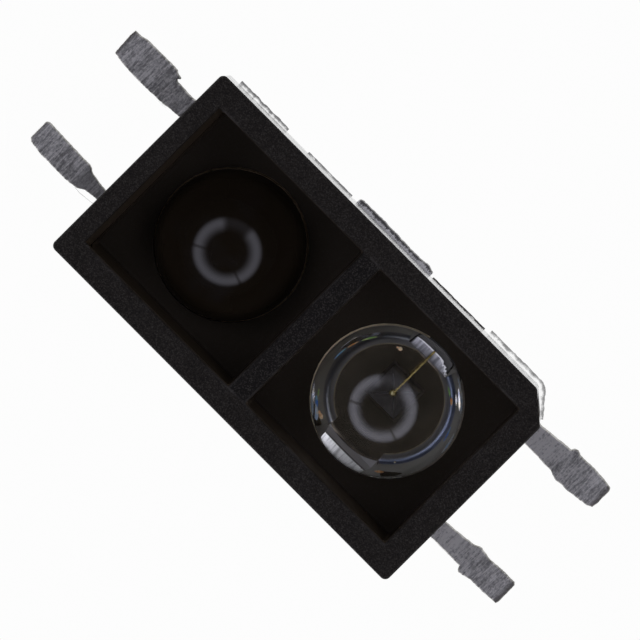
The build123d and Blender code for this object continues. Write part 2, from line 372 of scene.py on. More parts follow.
@dataclass(frozen=True)
class CapPlastic(Finish):
    """Black moulded plastic: fine spark-eroded grain on top, smooth drawn walls, and painted light inside the
    wells that lifts their shade.
    """

    name: str = "cap_plastic"
    rim: Colour = (0.0120, 0.0090, 0.0062)
    bloom: Colour = (0.0200, 0.0172, 0.0145)
    crest: Colour = (0.040, 0.036, 0.031)
    pit: Colour = (0.0010, 0.0008, 0.0008)
    speck: Colour = (0.022, 0.022, 0.026)
    partition: Colour = (0.0040, 0.0026, 0.0016)
    # a lighter band along the wells' rims and the partition's edges
    edge_band: Colour = (0.060, 0.056, 0.053)
    # painted light: the wells' tone is lighter than the rim's, to lift the shade that falls in them
    well: Colour = (0.0250, 0.0176, 0.0100)
    # painted light on the wells' walls above the deck; the shade-lifted tone goes on the -Y wall, which faces
    # +Y and lies deepest in shade
    shaft: Colour = (0.029, 0.0205, 0.012)
    shade_lifted_shaft: Colour = (0.048, 0.034, 0.020)
    grain: float = 38000.0
    mottle: float = 1500.0
    dust: float = 9000.0
    grain_height: float = 6.0e-6
    wells_half_length: float = 4.06
    wells_half_width: float = 1.85
    divider_half: float = 0.24
    edge_band_width: float = 0.06
    mouth: Span = (2.70, 2.79)
    long_rim: Span = (2.0, 2.2)
    deck: Span = (1.42, 1.50)
    # where the -Y wall lies in shade and takes the lighter painted tone
    shaded_wall: Span = (1.7, 1.8)
    lid_edge: Span = (2.74, 2.80)
    side_wall: Span = (2.20, 2.26)
    end_wall: Span = (4.42, 4.48)

    def dress(self, graph: NodeGraph, shader: Node) -> None:
        """Grain, mottle, painted light in the wells and on their walls, and glossier outer walls.

        Args:
            graph: the material's graph.
            shader: its Principled node.
        """
        x, y, z = graph.axes()
        mottle = graph.noise(graph.place(), self.mottle, 4.0, 0.6)
        fine = graph.noise(graph.place(), self.grain, 2.0, 0.7)
        dust = graph.cells(graph.place(), self.dust).fall(0.02, 0.28)
        end_rim = abs(x).ramp(self.wells_half_length - 0.03, self.wells_half_length + 0.02)
        side_rim = abs(y).ramp(self.wells_half_width - 0.03, self.wells_half_width + 0.02)
        divider = abs(x).fall(self.divider_half - 0.02, self.divider_half + 0.03)
        solid = end_rim.maximum(side_rim).maximum(divider)
        deep = 1 - solid * z.ramp(*self.mouth).maximum(abs(y).ramp(*self.long_rim))
        beyond = (abs(x) - self.wells_half_length).maximum(abs(y) - self.wells_half_width)
        border = beyond.ramp(-0.01, 0.01) * beyond.fall(0.02, self.edge_band_width)
        lip = abs(x).ramp(self.divider_half - self.edge_band_width, self.divider_half - 0.03)
        lip = lip * divider * (1 - side_rim)
        # painted light: the wells' walls get a lighter tone, lighter still on the -Y wall where the shade is
        # deepest
        shaft = graph.mixed((-1 * y).ramp(*self.shaded_wall), self.shaft, self.shade_lifted_shaft)
        tone = graph.layered(
            self.rim,
            (mottle.ramp(0.42, 0.78, 0.0, 0.6), self.bloom),
            (divider * (1 - side_rim) * 0.8, self.partition),
            (fine.ramp(0.52, 0.64, 0.0, 0.85), self.crest),
            (fine.ramp(0.36, 0.48, 0.75, 0.0), self.pit),
            (dust * fine.ramp(0.5, 0.7) * 0.3, self.speck),
            # a lighter band along the wells' rims and the partition's edges, patchy with the mottle
            (border.maximum(lip) * mottle.ramp(0.45, 0.62, 0.05, 0.45), self.edge_band),
            # painted light: the wells take a lighter tone than the rim to lift their shade
            (deep * fine.ramp(0.35, 0.65, 1.0, 0.7), self.well),
            # painted light on the wells' walls above the deck
            (deep * z.ramp(*self.deck), shaft))
        wall = (1 - z.ramp(*self.lid_edge)) * abs(y).ramp(*self.side_wall).maximum(abs(x).ramp(*self.end_wall))
        graph.fill(shader, {
            "Base Color": tone,
            "Roughness": 0.62 + mottle.ramp(0.3, 0.7, -0.06, 0.06) - wall * 0.50,
            "IOR": 1.48,
            "Specular IOR Level": 0.22,
            "Coat Weight": wall * 0.85,
            "Coat Roughness": 0.26,
            "Coat IOR": 1.5,
            "Normal": graph.bump(fine * 0.7 + mottle * 0.3, self.grain_height, 0.8)})


@dataclass(frozen=True)
class ClearResin(Finish):
    """Clear moulding resin, polished by its mould."""

    name: str = "clear_epoxy"
    tint: Colour = (0.97, 0.975, 0.95)
    cloudy: Colour = (0.92, 0.93, 0.9)
    shadow_tint: Colour = (0.86, 0.86, 0.83)
    haze: float = 700.0

    def dress(self, graph: NodeGraph, shader: Node) -> None:
        """Glassy with a faint haze.

        Args:
            graph: the material's graph.
            shader: its Principled node.
        """
        haze = graph.noise(graph.place(), self.haze, 3.0, 0.5)
        graph.fill(shader, {
            "Base Color": graph.mixed(haze.ramp(0.4, 0.8, 0.0, 0.35), self.tint, self.cloudy),
            "Roughness": haze.ramp(0.3, 0.8, 0.0, 0.02),
            "Transmission Weight": 1.0,
            "IOR": RESIN_INDEX,
            "Specular IOR Level": 0.40})

    def surface(self, graph: NodeGraph, shader: Node) -> Any:
        """Lets the lamps' light through to what is moulded in.

        Args:
            graph: the material's graph.
            shader: its Principled node.

        Returns:
            A shader output.
        """
        clear = graph.add("BsdfTransparent", None, {"Color": self.shadow_tint})
        shadow = graph.add("LightPath").outputs["Is Shadow Ray"]
        return graph.add("MixShader", None, {0: shadow, 1: shader.outputs[0], 2: clear.outputs[0]}).outputs[0]


@dataclass(frozen=True)
class InfraredResin(Finish):
    """Black resin that passes infrared only: deep gloss with faint flow marks."""

    name: str = "filtering_epoxy"
    depth: Colour = (0.0098, 0.0070, 0.0042)
    cloud: Colour = (0.0125, 0.0102, 0.0088)
    speck: Colour = (0.02, 0.02, 0.022)
    # painted light: a lighter tone towards the dome's edge, which otherwise reads as a dark ring
    painted_rim_light: Colour = (0.0185, 0.0135, 0.0082)
    # painted light: a pale band on the barrel above 0.95 mm, which fills the dark ring of shade round the
    # dome's foot
    foot: Colour = (0.42, 0.31, 0.20)
    flow: float = 900.0
    dust: float = 2600.0
    painted_rim_light_from: float = 0.95
    barrel: float = 1.484
    foot_above: float = 0.95

    def dress(self, graph: NodeGraph, shader: Node) -> None:
        """Glossy near-black with slight clouds, a few dust specks, painted light towards the dome's edge and a
        painted pale band on its barrel.

        Args:
            graph: the material's graph.
            shader: its Principled node.
        """
        height = graph.axes()[2]
        from_axis = graph.from_dome()
        clouds = graph.noise(graph.place(), self.flow, 4.0, 0.6)
        dust = graph.cells(graph.place(), self.dust).fall(0.015, 0.05)
        graph.fill(shader, {
            "Base Color": graph.layered(
                self.depth,
                (clouds.ramp(0.45, 0.75), self.cloud),
                (dust * 0.25, self.speck),
                # painted light towards the dome's edge
                (from_axis.ramp(self.painted_rim_light_from, DOME_RADIUS), self.painted_rim_light),
                # painted light: the pale band on the barrel
                (from_axis.above(self.barrel) * height.above(self.foot_above), self.foot)),
            "Roughness": clouds.ramp(0.35, 0.75, 0.07, 0.11),
            "IOR": 1.5,
            "Specular IOR Level": 0.33})


@dataclass(frozen=True)
class LeadMarks:
    """Where a point of a lead is, in millimetres, and what the rolls and the plating left there."""

    x: Value
    y: Value
    z: Value
    lines: Value
    fine: Value
    grain: Value
    blotch: Value


@dataclass(frozen=True)
class LeadPlate(Finish):
    """A lead: dull rolled tin outside the resin, smooth silver plating inside it, darker sheared edges."""

    name: str = "lead_plate"
    light: Colour = (1.0, 0.98, 0.94)
    dark: Colour = (0.24, 0.235, 0.225)
    sheared: Colour = (0.12, 0.108, 0.095)
    stub: Colour = (1.0, 0.99, 0.96)
    torn: Colour = (0.060, 0.056, 0.054)
    silver: Colour = (0.64, 0.55, 0.43)
    tarnish: Colour = (0.45, 0.38, 0.29)
    # painted reflections inside the resin: a near-black post and ramp, a light streaked slab and bar, white
    # highlights
    post: Colour = (0.050, 0.049, 0.047)
    slab: tuple[Colour, Colour] = ((0.24, 0.24, 0.26), (0.66, 0.66, 0.70))
    glint: Colour = (1.0, 1.0, 1.0)
    bar: tuple[Colour, Colour] = ((0.50, 0.50, 0.47), (1.0, 1.0, 0.95))
    rise: Colour = (0.11, 0.105, 0.097)
    # painted colour fringe at the paddle's rim, standing in for the dome's dispersion: yellow inside, then
    # grey
    painted_fringe: tuple[Colour, Colour] = ((0.42, 0.36, 0.22), (0.40, 0.39, 0.38))
    # painted colour fringe at the paddle's outer rim: grey-violet on the -X side, blue on the +X side
    violet: tuple[Colour, Colour] = ((0.27, 0.28, 0.34), (0.24, 0.28, 0.44))
    edge: Colour = (0.42, 0.41, 0.40)
    roughness: float = 0.52
    inner_roughness: float = 0.075
    rollover: float = 50.0
    relief: float = 9.0e-6
    pits: float = 9000.0
    resin_end: Span = (4.48, 4.56)
    resin_side: Span = (2.27, 2.30)
    stub_from: Span = (2.24, 2.27)
    stub_rolls_from: float = 2.2
    torn_from: Span = (2.325, 2.36)
    # painted light and shade on the necks: lighter on the emitter side, darker on the detector side, darkest
    # on its -Y side
    lit_neck_span: Span = (5.0, 5.5)
    shaded_neck_span: Span = (5.05, 5.35)
    tip: Span = (6.30, 6.42)
    shear: Span = (0.80, 0.84)
    post_front: float = 0.56
    slab_back: Span = (0.735, 0.75)
    slab_corner: Span = (1.22, 1.24)
    slab_end: Span = (-0.27, -0.24)
    glint_back: float = 0.722
    glint_corner: Span = (1.185, 1.2)
    rise_front: float = -0.60
    bar_front: float = -0.71
    neck: Span = (1.92, 2.50)
    neck_front: float = -0.35
    paddle: float = 0.62

    def marks(self, graph: NodeGraph) -> LeadMarks:
        """The patterns that the tin, the silver and the relief share.

        Args:
            graph: the material's graph.

        Returns:
            The place and its patterns.
        """
        return LeadMarks(
            *graph.axes(),
            graph.noise(graph.stretched((21000.0, 2600.0, 3000.0), (0.0, 0.0, 0.2)), 1.0, 2.0, 0.55),
            graph.noise(graph.stretched((46000.0, 15000.0, 15000.0), (0.0, 0.0, 0.15)), 1.0, 2.0, 0.6),
            graph.noise(graph.place(), 24000.0, 3.0, 0.65),
            graph.noise(graph.place(), 3200.0, 4.0, 0.65))

    def tin(self, graph: NodeGraph, at: LeadMarks, stub: Value) -> tuple[Any, Value]:
        """Rolled tin outside the resin, darker at the tips and sides, torn at the stubs' ends, with painted
        light on the emitter-side necks and painted shade on the detector-side necks.

        Args:
            graph: the material's graph.
            at: the place and its patterns.
            stub: 1 on the tie-bar stubs.

        Returns:
            The colour output, and how far the plating is rubbed bright, which also carries the painted light
            on the emitter-side necks.
        """
        # painted light: the emitter side's necks are made lighter
        bright = abs(at.x).fall(*self.lit_neck_span) * at.x.above(0.0)
        worn_and_lit = at.lines * 0.42 + at.fine * 0.24 + at.grain * 0.24 + at.blotch * 0.2 + bright * 0.10
        worn_and_lit = worn_and_lit.ramp(0.43, 0.67)
        pits = graph.cells(graph.place(), self.pits).ramp(0.05, 0.3, 0.4, 0.0)
        # painted shade: the detector side's necks are darkened, more on the -Y side
        neck = abs(at.x).fall(*self.shaded_neck_span) * (-1 * at.x).above(0.0) * (0.15 + (-1 * at.y).above(0.0) * 0.4)
        tip = abs(at.x).ramp(*self.tip) * 0.72
        side = (1 - at.z.ramp(*self.shear)) * 0.7
        wander = abs(at.y) + (at.lines - 0.5) * 0.16 + (at.blotch - 0.5) * 0.08
        tone = graph.layered(
            graph.mixed(worn_and_lit, self.dark, self.light),
            (pits, self.dark),
            (neck, self.dark),
            (stub, graph.mixed(worn_and_lit * 0.2, self.stub, self.dark)),
            (tip.maximum(side), self.sheared),
            (stub * wander.ramp(*self.torn_from) * 0.9, self.torn))
        return tone, worn_and_lit

    def plating(self, graph: NodeGraph, at: LeadMarks) -> tuple[Any, Value, Value]:
        """Silver inside the resin: post, bar, ramp and paddle, as the dome magnifies them, with painted
        reflections on them: a near-black post and ramp, a lighter streaked slab and a bright bar, and white
        painted highlights along the slab's edges.

        Args:
            graph: the material's graph.
            at: the place and its patterns.

        Returns:
            The colour output, the roughness, and 1 on the sheared sides.
        """
        x, y, z = at.x, at.y, at.z
        streaks = graph.noise(graph.stretched((26000.0, 2500.0, 3000.0)), 1.0, 3.0, 0.6)
        from_axis = graph.from_dome()
        # painted reflection: the post is near-black, where its metal would mirror the dark surroundings
        post = (y - self.post_front).ramp(0.0, 0.02)
        aside = x - CHIP[0]
        slant = aside + y * 1.5 + (at.fine - 0.5) * 0.16
        # painted reflection: a lighter streaked slab on the post's front
        slab = post * (1 - (y + (at.blotch - 0.5) * 0.04).ramp(*self.slab_back))
        slab = slab * slant.fall(*self.slab_corner) * aside.ramp(*self.slab_end)
        # painted highlight: white along the slab's back and corner edges
        glint = (y - self.glint_back).ramp(0.0, 0.008).maximum(slant.ramp(*self.glint_corner)) * slab
        # painted reflection: the bar is bright as if it mirrored the lamp, and the ramp before it is
        # near-black
        bar = (self.bar_front - y).ramp(0.0, 0.01)
        rise = (self.rise_front - y).ramp(0.0, 0.01) * (1 - bar)
        neck = (x - self.neck[0]).ramp(0.0, 0.02) * (self.neck[1] - x).ramp(0.0, 0.02)
        neck = neck * (self.neck_front - y).ramp(0.0, 0.05)
        # painted dispersion: colour fringes round the paddle's rim, yellow, then grey, then violet to blue
        painted_fringe = from_axis.ramp(0.53, 0.55) * (1 - post) * (1 - rise) * (1 - bar) * (1 - neck)
        fringe = graph.mixed(from_axis.ramp(0.54, 0.56), *self.painted_fringe)
        fringe = graph.mixed(from_axis.ramp(0.575, 0.60), fringe,
                             graph.mixed((x - DOME_X).ramp(-0.2, 0.4), *self.violet))
        off_paddle = from_axis.above(self.paddle)
        edge = (1 - z.ramp(0.825, 0.84)) * off_paddle
        edge = edge.maximum((1 - z.ramp(0.62, 0.64)) * (1 - off_paddle))
        tone = graph.layered(
            graph.mixed(at.blotch.ramp(0.35, 0.7), self.silver, self.tarnish),
            (post, self.post),
            (slab, graph.mixed(streaks.ramp(0.35, 0.65), *self.slab)),
            (glint, self.glint),
            (bar, graph.mixed(streaks.ramp(0.3, 0.6), *self.bar)),
            (rise, self.rise),
            (painted_fringe, fringe),
            (edge, self.edge))
        flats = post.maximum(bar).maximum(rise * 1.4).maximum(painted_fringe * 1.3).maximum(edge * 1.8)
        cloudy = at.blotch.ramp(0.3, 0.7, self.inner_roughness, self.inner_roughness + 0.03)
        return tone, cloudy + flats * 0.22 + glint * 0.2, edge

    def dress(self, graph: NodeGraph, shader: Node) -> None:
        """Slanted roll marks, grain, a darker tip and sheared sides; cloudy silver inside, with painted
        reflections, highlights and colour fringes.

        Args:
            graph: the material's graph.
            shader: its Principled node.
        """
        at = self.marks(graph)
        inside = abs(at.x).fall(*self.resin_end) * abs(at.y).fall(*self.resin_side)
        stub = abs(at.y).ramp(*self.stub_from)
        outer, worn_and_lit = self.tin(graph, at, stub)
        inner, smooth, edge = self.plating(graph, at)
        rough = worn_and_lit.ramp(0.0, 1.0, self.roughness + 0.06, self.roughness - 0.06)
        height = (at.lines * 0.5 + at.fine * 0.25 + at.grain * 0.3) * (1 - inside * 0.9965)
        height = height - stub * (abs(at.y) - self.stub_rolls_from) * self.rollover
        graph.fill(shader, {
            "Base Color": graph.mixed(inside, outer, inner),
            "Metallic": 0.95 - inside * edge * 0.6 - stub * 0.75,
            "Roughness": (rough - stub * 0.10) * (1 - inside) + smooth * inside,
            "Normal": graph.bump(height, self.relief, 0.7)})


@dataclass(frozen=True)
class PlainMetal(Finish):
    """A small metal or mineral piece with a fine mottle."""

    name: str
    first: Colour
    second: Colour
    metallic: float
    roughness: float
    grain: float = 20000.0
    relief: float = 1.0e-6

    def dress(self, graph: NodeGraph, shader: Node) -> None:
        """Two tones mixed by noise.

        Args:
            graph: the material's graph.
            shader: its Principled node.
        """
        speck = graph.noise(graph.place(), self.grain, 3.0, 0.6)
        graph.fill(shader, {
            "Base Color": graph.mixed(speck.ramp(0.35, 0.68), self.first, self.second),
            "Metallic": self.metallic,
            "Roughness": speck.ramp(0.3, 0.7, self.roughness + 0.05, self.roughness - 0.05),
            "Normal": graph.bump(speck, self.relief, 0.4)})


@dataclass(frozen=True)
class BondWire(Finish):
    """Drawn gold wire, with a painted highlight on its ball on the chip."""

    name: str = "drawn_gold"
    first: Colour = (0.38, 0.30, 0.10)
    second: Colour = (0.55, 0.44, 0.18)
    # painted highlight: the ball's pale tone
    ball: Colour = (1.0, 0.90, 0.50)
    grain: float = 20000.0
    relief: float = 1.0e-6
    ball_squared: Span = (0.0003, 0.0007)
    ball_top: Span = (1.06, 1.12)

    def dress(self, graph: NodeGraph, shader: Node) -> None:
        """Faint drawing marks along the wire, and a painted highlight on the ball: pale, less metallic and
        rougher.

        Args:
            graph: the material's graph.
            shader: its Principled node.
        """
        x, y, z = graph.axes()
        speck = graph.noise(graph.place(), self.grain, 3.0, 0.6)
        aside, beyond = abs(x) - CHIP[0], y - CHIP[1]
        # painted highlight: the ball on the chip is pale, less metallic and rougher than the wire
        ball = (aside * aside + beyond * beyond).fall(*self.ball_squared) * z.fall(*self.ball_top)
        graph.fill(shader, {
            "Base Color": graph.layered(self.first, (speck.ramp(0.35, 0.68), self.second), (ball, self.ball)),
            "Metallic": 1.0 - ball * 0.7,
            "Roughness": speck.ramp(0.3, 0.7, 0.30, 0.20) + ball * 0.15,
            "Normal": graph.bump(speck, self.relief, 0.4)})


@dataclass(frozen=True)
class ResinFlash(Finish):
    """Thin pale resin squeezed out along the mould's parting line, darker at its broken edge."""

    name: str = "squeezed_flash"
    pale: Colour = (0.72, 0.73, 0.69)
    grey: Colour = (0.16, 0.155, 0.145)
    thin: float = 0.03
    thick: float = 0.5
    cloud: float = 7000.0
    relief: float = 8.0e-6

    def dress(self, graph: NodeGraph, shader: Node) -> None:
        """Pale by the body, grey and rough at the edge, with cloudy patches.

        Args:
            graph: the material's graph.
            shader: its Principled node.
        """
        reach = Value(graph, graph.add("Attribute", {"attribute_name": REACH}).outputs["Fac"])
        cloud = graph.noise(graph.place(), self.cloud, 4.0, 0.65)
        edge = (reach + (cloud - 0.5) * 1.1).ramp(0.5, 1.05)
        graph.fill(shader, {
            "Base Color": graph.mixed(edge, self.pale, self.grey),
            "Alpha": edge.ramp(0.0, 1.0, self.thin, self.thick) + edge * (cloud - 0.5) * 0.3,
            "Roughness": cloud.ramp(0.3, 0.7, 0.25, 0.45),
            "Normal": graph.bump(cloud, self.relief, 0.6)})


CAP = CapPlastic()
CLEAR = ClearResin()
BLACK_RESIN = InfraredResin()
LEAD = LeadPlate()
GOLD = BondWire()
FLASH = ResinFlash()
DARK_FLASH = ResinFlash("dusty_flash", (0.50, 0.50, 0.51), (0.12, 0.118, 0.12), 0.03, 0.6)
# flash with a near-black broken edge, along the emitter's +Y side
LINE_FLASH = ResinFlash("dark_edged_flash", (0.60, 0.58, 0.54), (0.035, 0.028, 0.022), 0.03, 1.0)
ADHESIVE = PlainMetal("adhesive_paste", (0.075, 0.066, 0.052), (0.11, 0.097, 0.078), 0.4, 0.3)
EMITTER_CHIP = PlainMetal("emitter_crystal", (0.165, 0.150, 0.138), (0.26, 0.24, 0.225), 0.8, 0.14, 9000.0)
DETECTOR_CHIP = PlainMetal("detector_silicon", (0.03, 0.035, 0.07), (0.05, 0.06, 0.11), 0.6, 0.16, 9000.0)
ELECTRODE = PlainMetal("chip_electrode", (0.12, 0.115, 0.11), (0.19, 0.18, 0.17), 0.9, 0.3)
# painted glints: a tinted mirror that catches the lamp, and frosted, amber, green and blue patches for the
# dome's glints and colour fringes
GLINT = PlainMetal("glint_mirror", (0.80, 0.86, 1.0), (1.0, 0.93, 0.76), 1.0, 0.16, 6000.0)
FROST = PlainMetal("frosted_glint", (0.55, 0.75, 1.0), (1.0, 0.94, 0.80), 0.0, 0.5, 7000.0)
AMBER = PlainMetal("amber_glint", (1.0, 0.42, 0.12), (1.0, 0.80, 0.52), 0.0, 0.5, 9000.0)
VERDANT = PlainMetal("verdant_glint", (0.30, 0.66, 0.22), (0.72, 0.78, 0.30), 0.0, 0.5, 9000.0)
AZURE = PlainMetal("azure_glint", (0.12, 0.30, 0.95), (0.40, 0.75, 0.85), 0.0, 0.5, 9000.0)


# ---------------------------------------------------------------------------------------------
# Mesh helpers
# ---------------------------------------------------------------------------------------------


def piece_from(mesh: bmesh.types.BMesh, name: str, finish: Finish) -> Thing:
    """Turns a bmesh in millimetres into a linked object in metres.

    Args:
        mesh: the geometry, freed here.
        name: the object's name.
        finish: its material.

    Returns:
        The object.
    """
    bmesh.ops.scale(mesh, vec=(MM,) * 3, verts=mesh.verts)
    data = bpy.data.meshes.new(name)
    mesh.to_mesh(data)
    mesh.free()
    data.materials.append(finish.material())
    thing = bpy.data.objects.new(name, data)
    bpy.context.scene.collection.objects.link(thing)
    LOG.info("piece %s: %d faces", name, len(data.polygons))
    return thing


def plain(thing: Thing, name: str) -> Thing:
    """Replaces an object by its evaluated mesh, with no modifiers left.

    Args:
        thing: the object, whose modifiers are spent.
        name: the new object's name.

    Returns:
        The new object.
    """
    graph = bpy.context.evaluated_depsgraph_get()
    data = bpy.data.meshes.new_from_object(thing.evaluated_get(graph), depsgraph=graph)
    data.name = name
    bpy.data.objects.remove(thing)
    made = bpy.data.objects.new(name, data)
    bpy.context.scene.collection.objects.link(made)
    return made


def claim(thing: Thing, replaced: Sequence[str] = ()) -> Thing:
    """Rides a finished piece on the sensor's one body.

    Args:
        thing: the piece.
        replaced: CAD nodes that it stands for.

    Returns:
        The piece.
    """
    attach(thing, "root")
    if replaced:
        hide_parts(*replaced)
    return thing


def dress_node(node: str, finish: Finish) -> None:
    """Gives a CAD node its finish.

    Args:
        node: the node's name.
        finish: its material.
    """
    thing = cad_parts[node]
    if not thing.data.materials:
        thing.data.materials.append(finish.material())
    for slot in thing.material_slots:
        slot.material = finish.material()


def rounded(corners: Outline, radii: Sequence[float], steps: int = 6) -> list[Spot]:
    """Rounds the corners of a closed outline.

    Args:
        corners: the outline in order.
        radii: one radius per corner.
        steps: points per corner, less one.

    Returns:
        The rounded outline.
    """
    points: list[Spot] = []
    count = len(corners)
    for i, (corner, radius) in enumerate(zip(corners, radii)):
        here = Vector((*corner, 0))
        before = (Vector((*corners[i - 1], 0)) - here).normalized()
        after = (Vector((*corners[(i + 1) % count], 0)) - here).normalized()
        if radius <= 0:
            points.append(corner)
            continue
        half = before.angle(after) / 2
        centre = here + (before + after).normalized() * (radius / math.sin(half))
        start = here + before * (radius / math.tan(half)) - centre
        end = here + after * (radius / math.tan(half)) - centre
        for k in range(steps + 1):
            spot = centre + start.slerp(end, k / steps) * radius
            points.append((spot.x, spot.y))
    return points


def ragged(outline: Outline, step: float, rough: Callable[[float, float], float], seed: int) -> list[Spot]:
    """Splits an outline's sides into short steps and pushes each point out or in a little.

    Args:
        outline: the closed outline.
        step: the longest step.
        rough: how far a point at x, y may move.
        seed: the random seed.

    Returns:
        The finer outline.
    """
    chance = random.Random(seed)
    points: list[Spot] = []
    drift = 0.0
    for i, (x, y) in enumerate(outline):
        u, v = outline[(i + 1) % len(outline)]
        length = math.hypot(u - x, v - y)
        count = max(1, math.ceil(length / step))
        for k in range(count):
            a, b = x + (u - x) * k / count, y + (v - y) * k / count
            drift = 0.6 * drift + chance.uniform(-1.0, 1.0)
            move = drift * rough(a, b)
            points.append((a + (v - y) / length * move, b - (u - x) / length * move))
    return points


def inset(outline: Outline, amount: float) -> list[Spot]:
    """Draws a closed outline, listed counter-clockwise, in by an amount.

    Args:
        outline: the outline.
        amount: how far its sides move in.

    Returns:
        The smaller outline.
    """
    points = []
    count = len(outline)
    for i in range(count):
        here = Vector(outline[i])
        before = (here - Vector(outline[i - 1])).normalized()
        after = (Vector(outline[(i + 1) % count]) - here).normalized()
        inward = Vector((-before.y - after.y, before.x + after.x))
        size = inward.length
        if size < 0.3:  # a hairpin, where the two sides' normals nearly cancel out
            points.append((here.x, here.y))
            continue
        inward /= size
        points.append((here.x + inward.x * amount, here.y + inward.y * amount))
    return points


def plate(outline: Outline, low: float, high: float, edge: float, steps: int = 1) -> bmesh.types.BMesh:
    """A flat plate with broken or rounded upper and lower edges.

    Args:
        outline: its plan, counter-clockwise.
        low: its underside's height.
        high: its top's height.
        edge: how much of the edges is broken.
        steps: how many facets round each edge.

    Returns:
        The mesh, in millimetres.
    """
    turns = [math.pi / 2 * k / steps for k in range(steps + 1)]
    levels = [(low + edge * (1 - math.sin(a)), edge * (1 - math.cos(a))) for a in reversed(turns)]
    levels += [(high - edge * (1 - math.sin(a)), edge * (1 - math.cos(a))) for a in turns]
    return stacked([[(x, y, z) for x, y in inset(outline, amount)] for z, amount in levels])


def stacked(rings: Sequence[Sequence[Point]]) -> bmesh.types.BMesh:
    """A closed solid from rings of points, one above the other, capped at both ends.

    Args:
        rings: outlines with the same number of points, in the same order.

    Returns:
        The mesh, in millimetres.
    """
    mesh = bmesh.new()
    rows = [[mesh.verts.new(p) for p in ring] for ring in rings]
    for low, high in zip(rows, rows[1:]):
        for i in range(len(low)):
            j = (i + 1) % len(low)
            mesh.faces.new((low[i], low[j], high[j], high[i]))
    mesh.faces.new(list(reversed(rows[0])))
    mesh.faces.new(rows[-1])
    bmesh.ops.recalc_face_normals(mesh, faces=mesh.faces)
    return mesh


def turned(profile: Outline, centre: Spot, segments: int) -> bmesh.types.BMesh:
    """A closed solid turned about a vertical axis.

    Args:
        profile: (radius, z) from the bottom's centre to the top's centre, both at radius 0.
        centre: the axis's place in plan.
        segments: how many steps go round.

    Returns:
        The mesh, in millimetres.
    """
    mesh = bmesh.new()
    bottom = mesh.verts.new((*centre, profile[0][1]))
    top = mesh.verts.new((*centre, profile[-1][1]))
    rings = []
    turn = [2 * math.pi * k / segments for k in range(segments)]
    for radius, z in profile[1:-1]:
        rings.append([mesh.verts.new((centre[0] + radius * math.cos(a), centre[1] + radius * math.sin(a), z))
                      for a in turn])
    for i in range(segments):
        j = (i + 1) % segments
        mesh.faces.new((bottom, rings[0][j], rings[0][i]))
        mesh.faces.new((top, rings[-1][i], rings[-1][j]))
        for low, high in zip(rings, rings[1:]):
            mesh.faces.new((low[i], low[j], high[j], high[i]))
    bmesh.ops.recalc_face_normals(mesh, faces=mesh.faces)
    return mesh


def united(parts: Sequence[Thing], name: str, smooth: float, cut: Optional[Thing] = None) -> Thing:
    """Joins overlapping closed solids into one skin.

    Args:
        parts: the solids, the first of which takes in the others.
        name: the result's name.
        smooth: the angle in degrees up to which edges shade smooth.
        cut: a solid taken away from the joined ones.

    Returns:
        The joined object.
    """
    first, *others = parts
    if cut is not None:
        others.append(cut)
    for other in others:
        union = first.modifiers.new("union", "BOOLEAN")
        union.operation = "DIFFERENCE" if other is cut else "UNION"
        union.solver = "EXACT"
        union.object = other
    made = plain(first, name)
    for other in others:
        bpy.data.objects.remove(other)
    made.data.shade_smooth()
    made.data.set_sharp_from_angle(angle=math.radians(smooth))
    LOG.info("piece %s: %d faces", name, len(made.data.polygons))
    return made


# ---------------------------------------------------------------------------------------------
# Resin mouldings
# ---------------------------------------------------------------------------------------------


class End(Enum):
    """Which end of the sensor a moulding sits at."""

    EMITTER = 1
    DETECTOR = -1


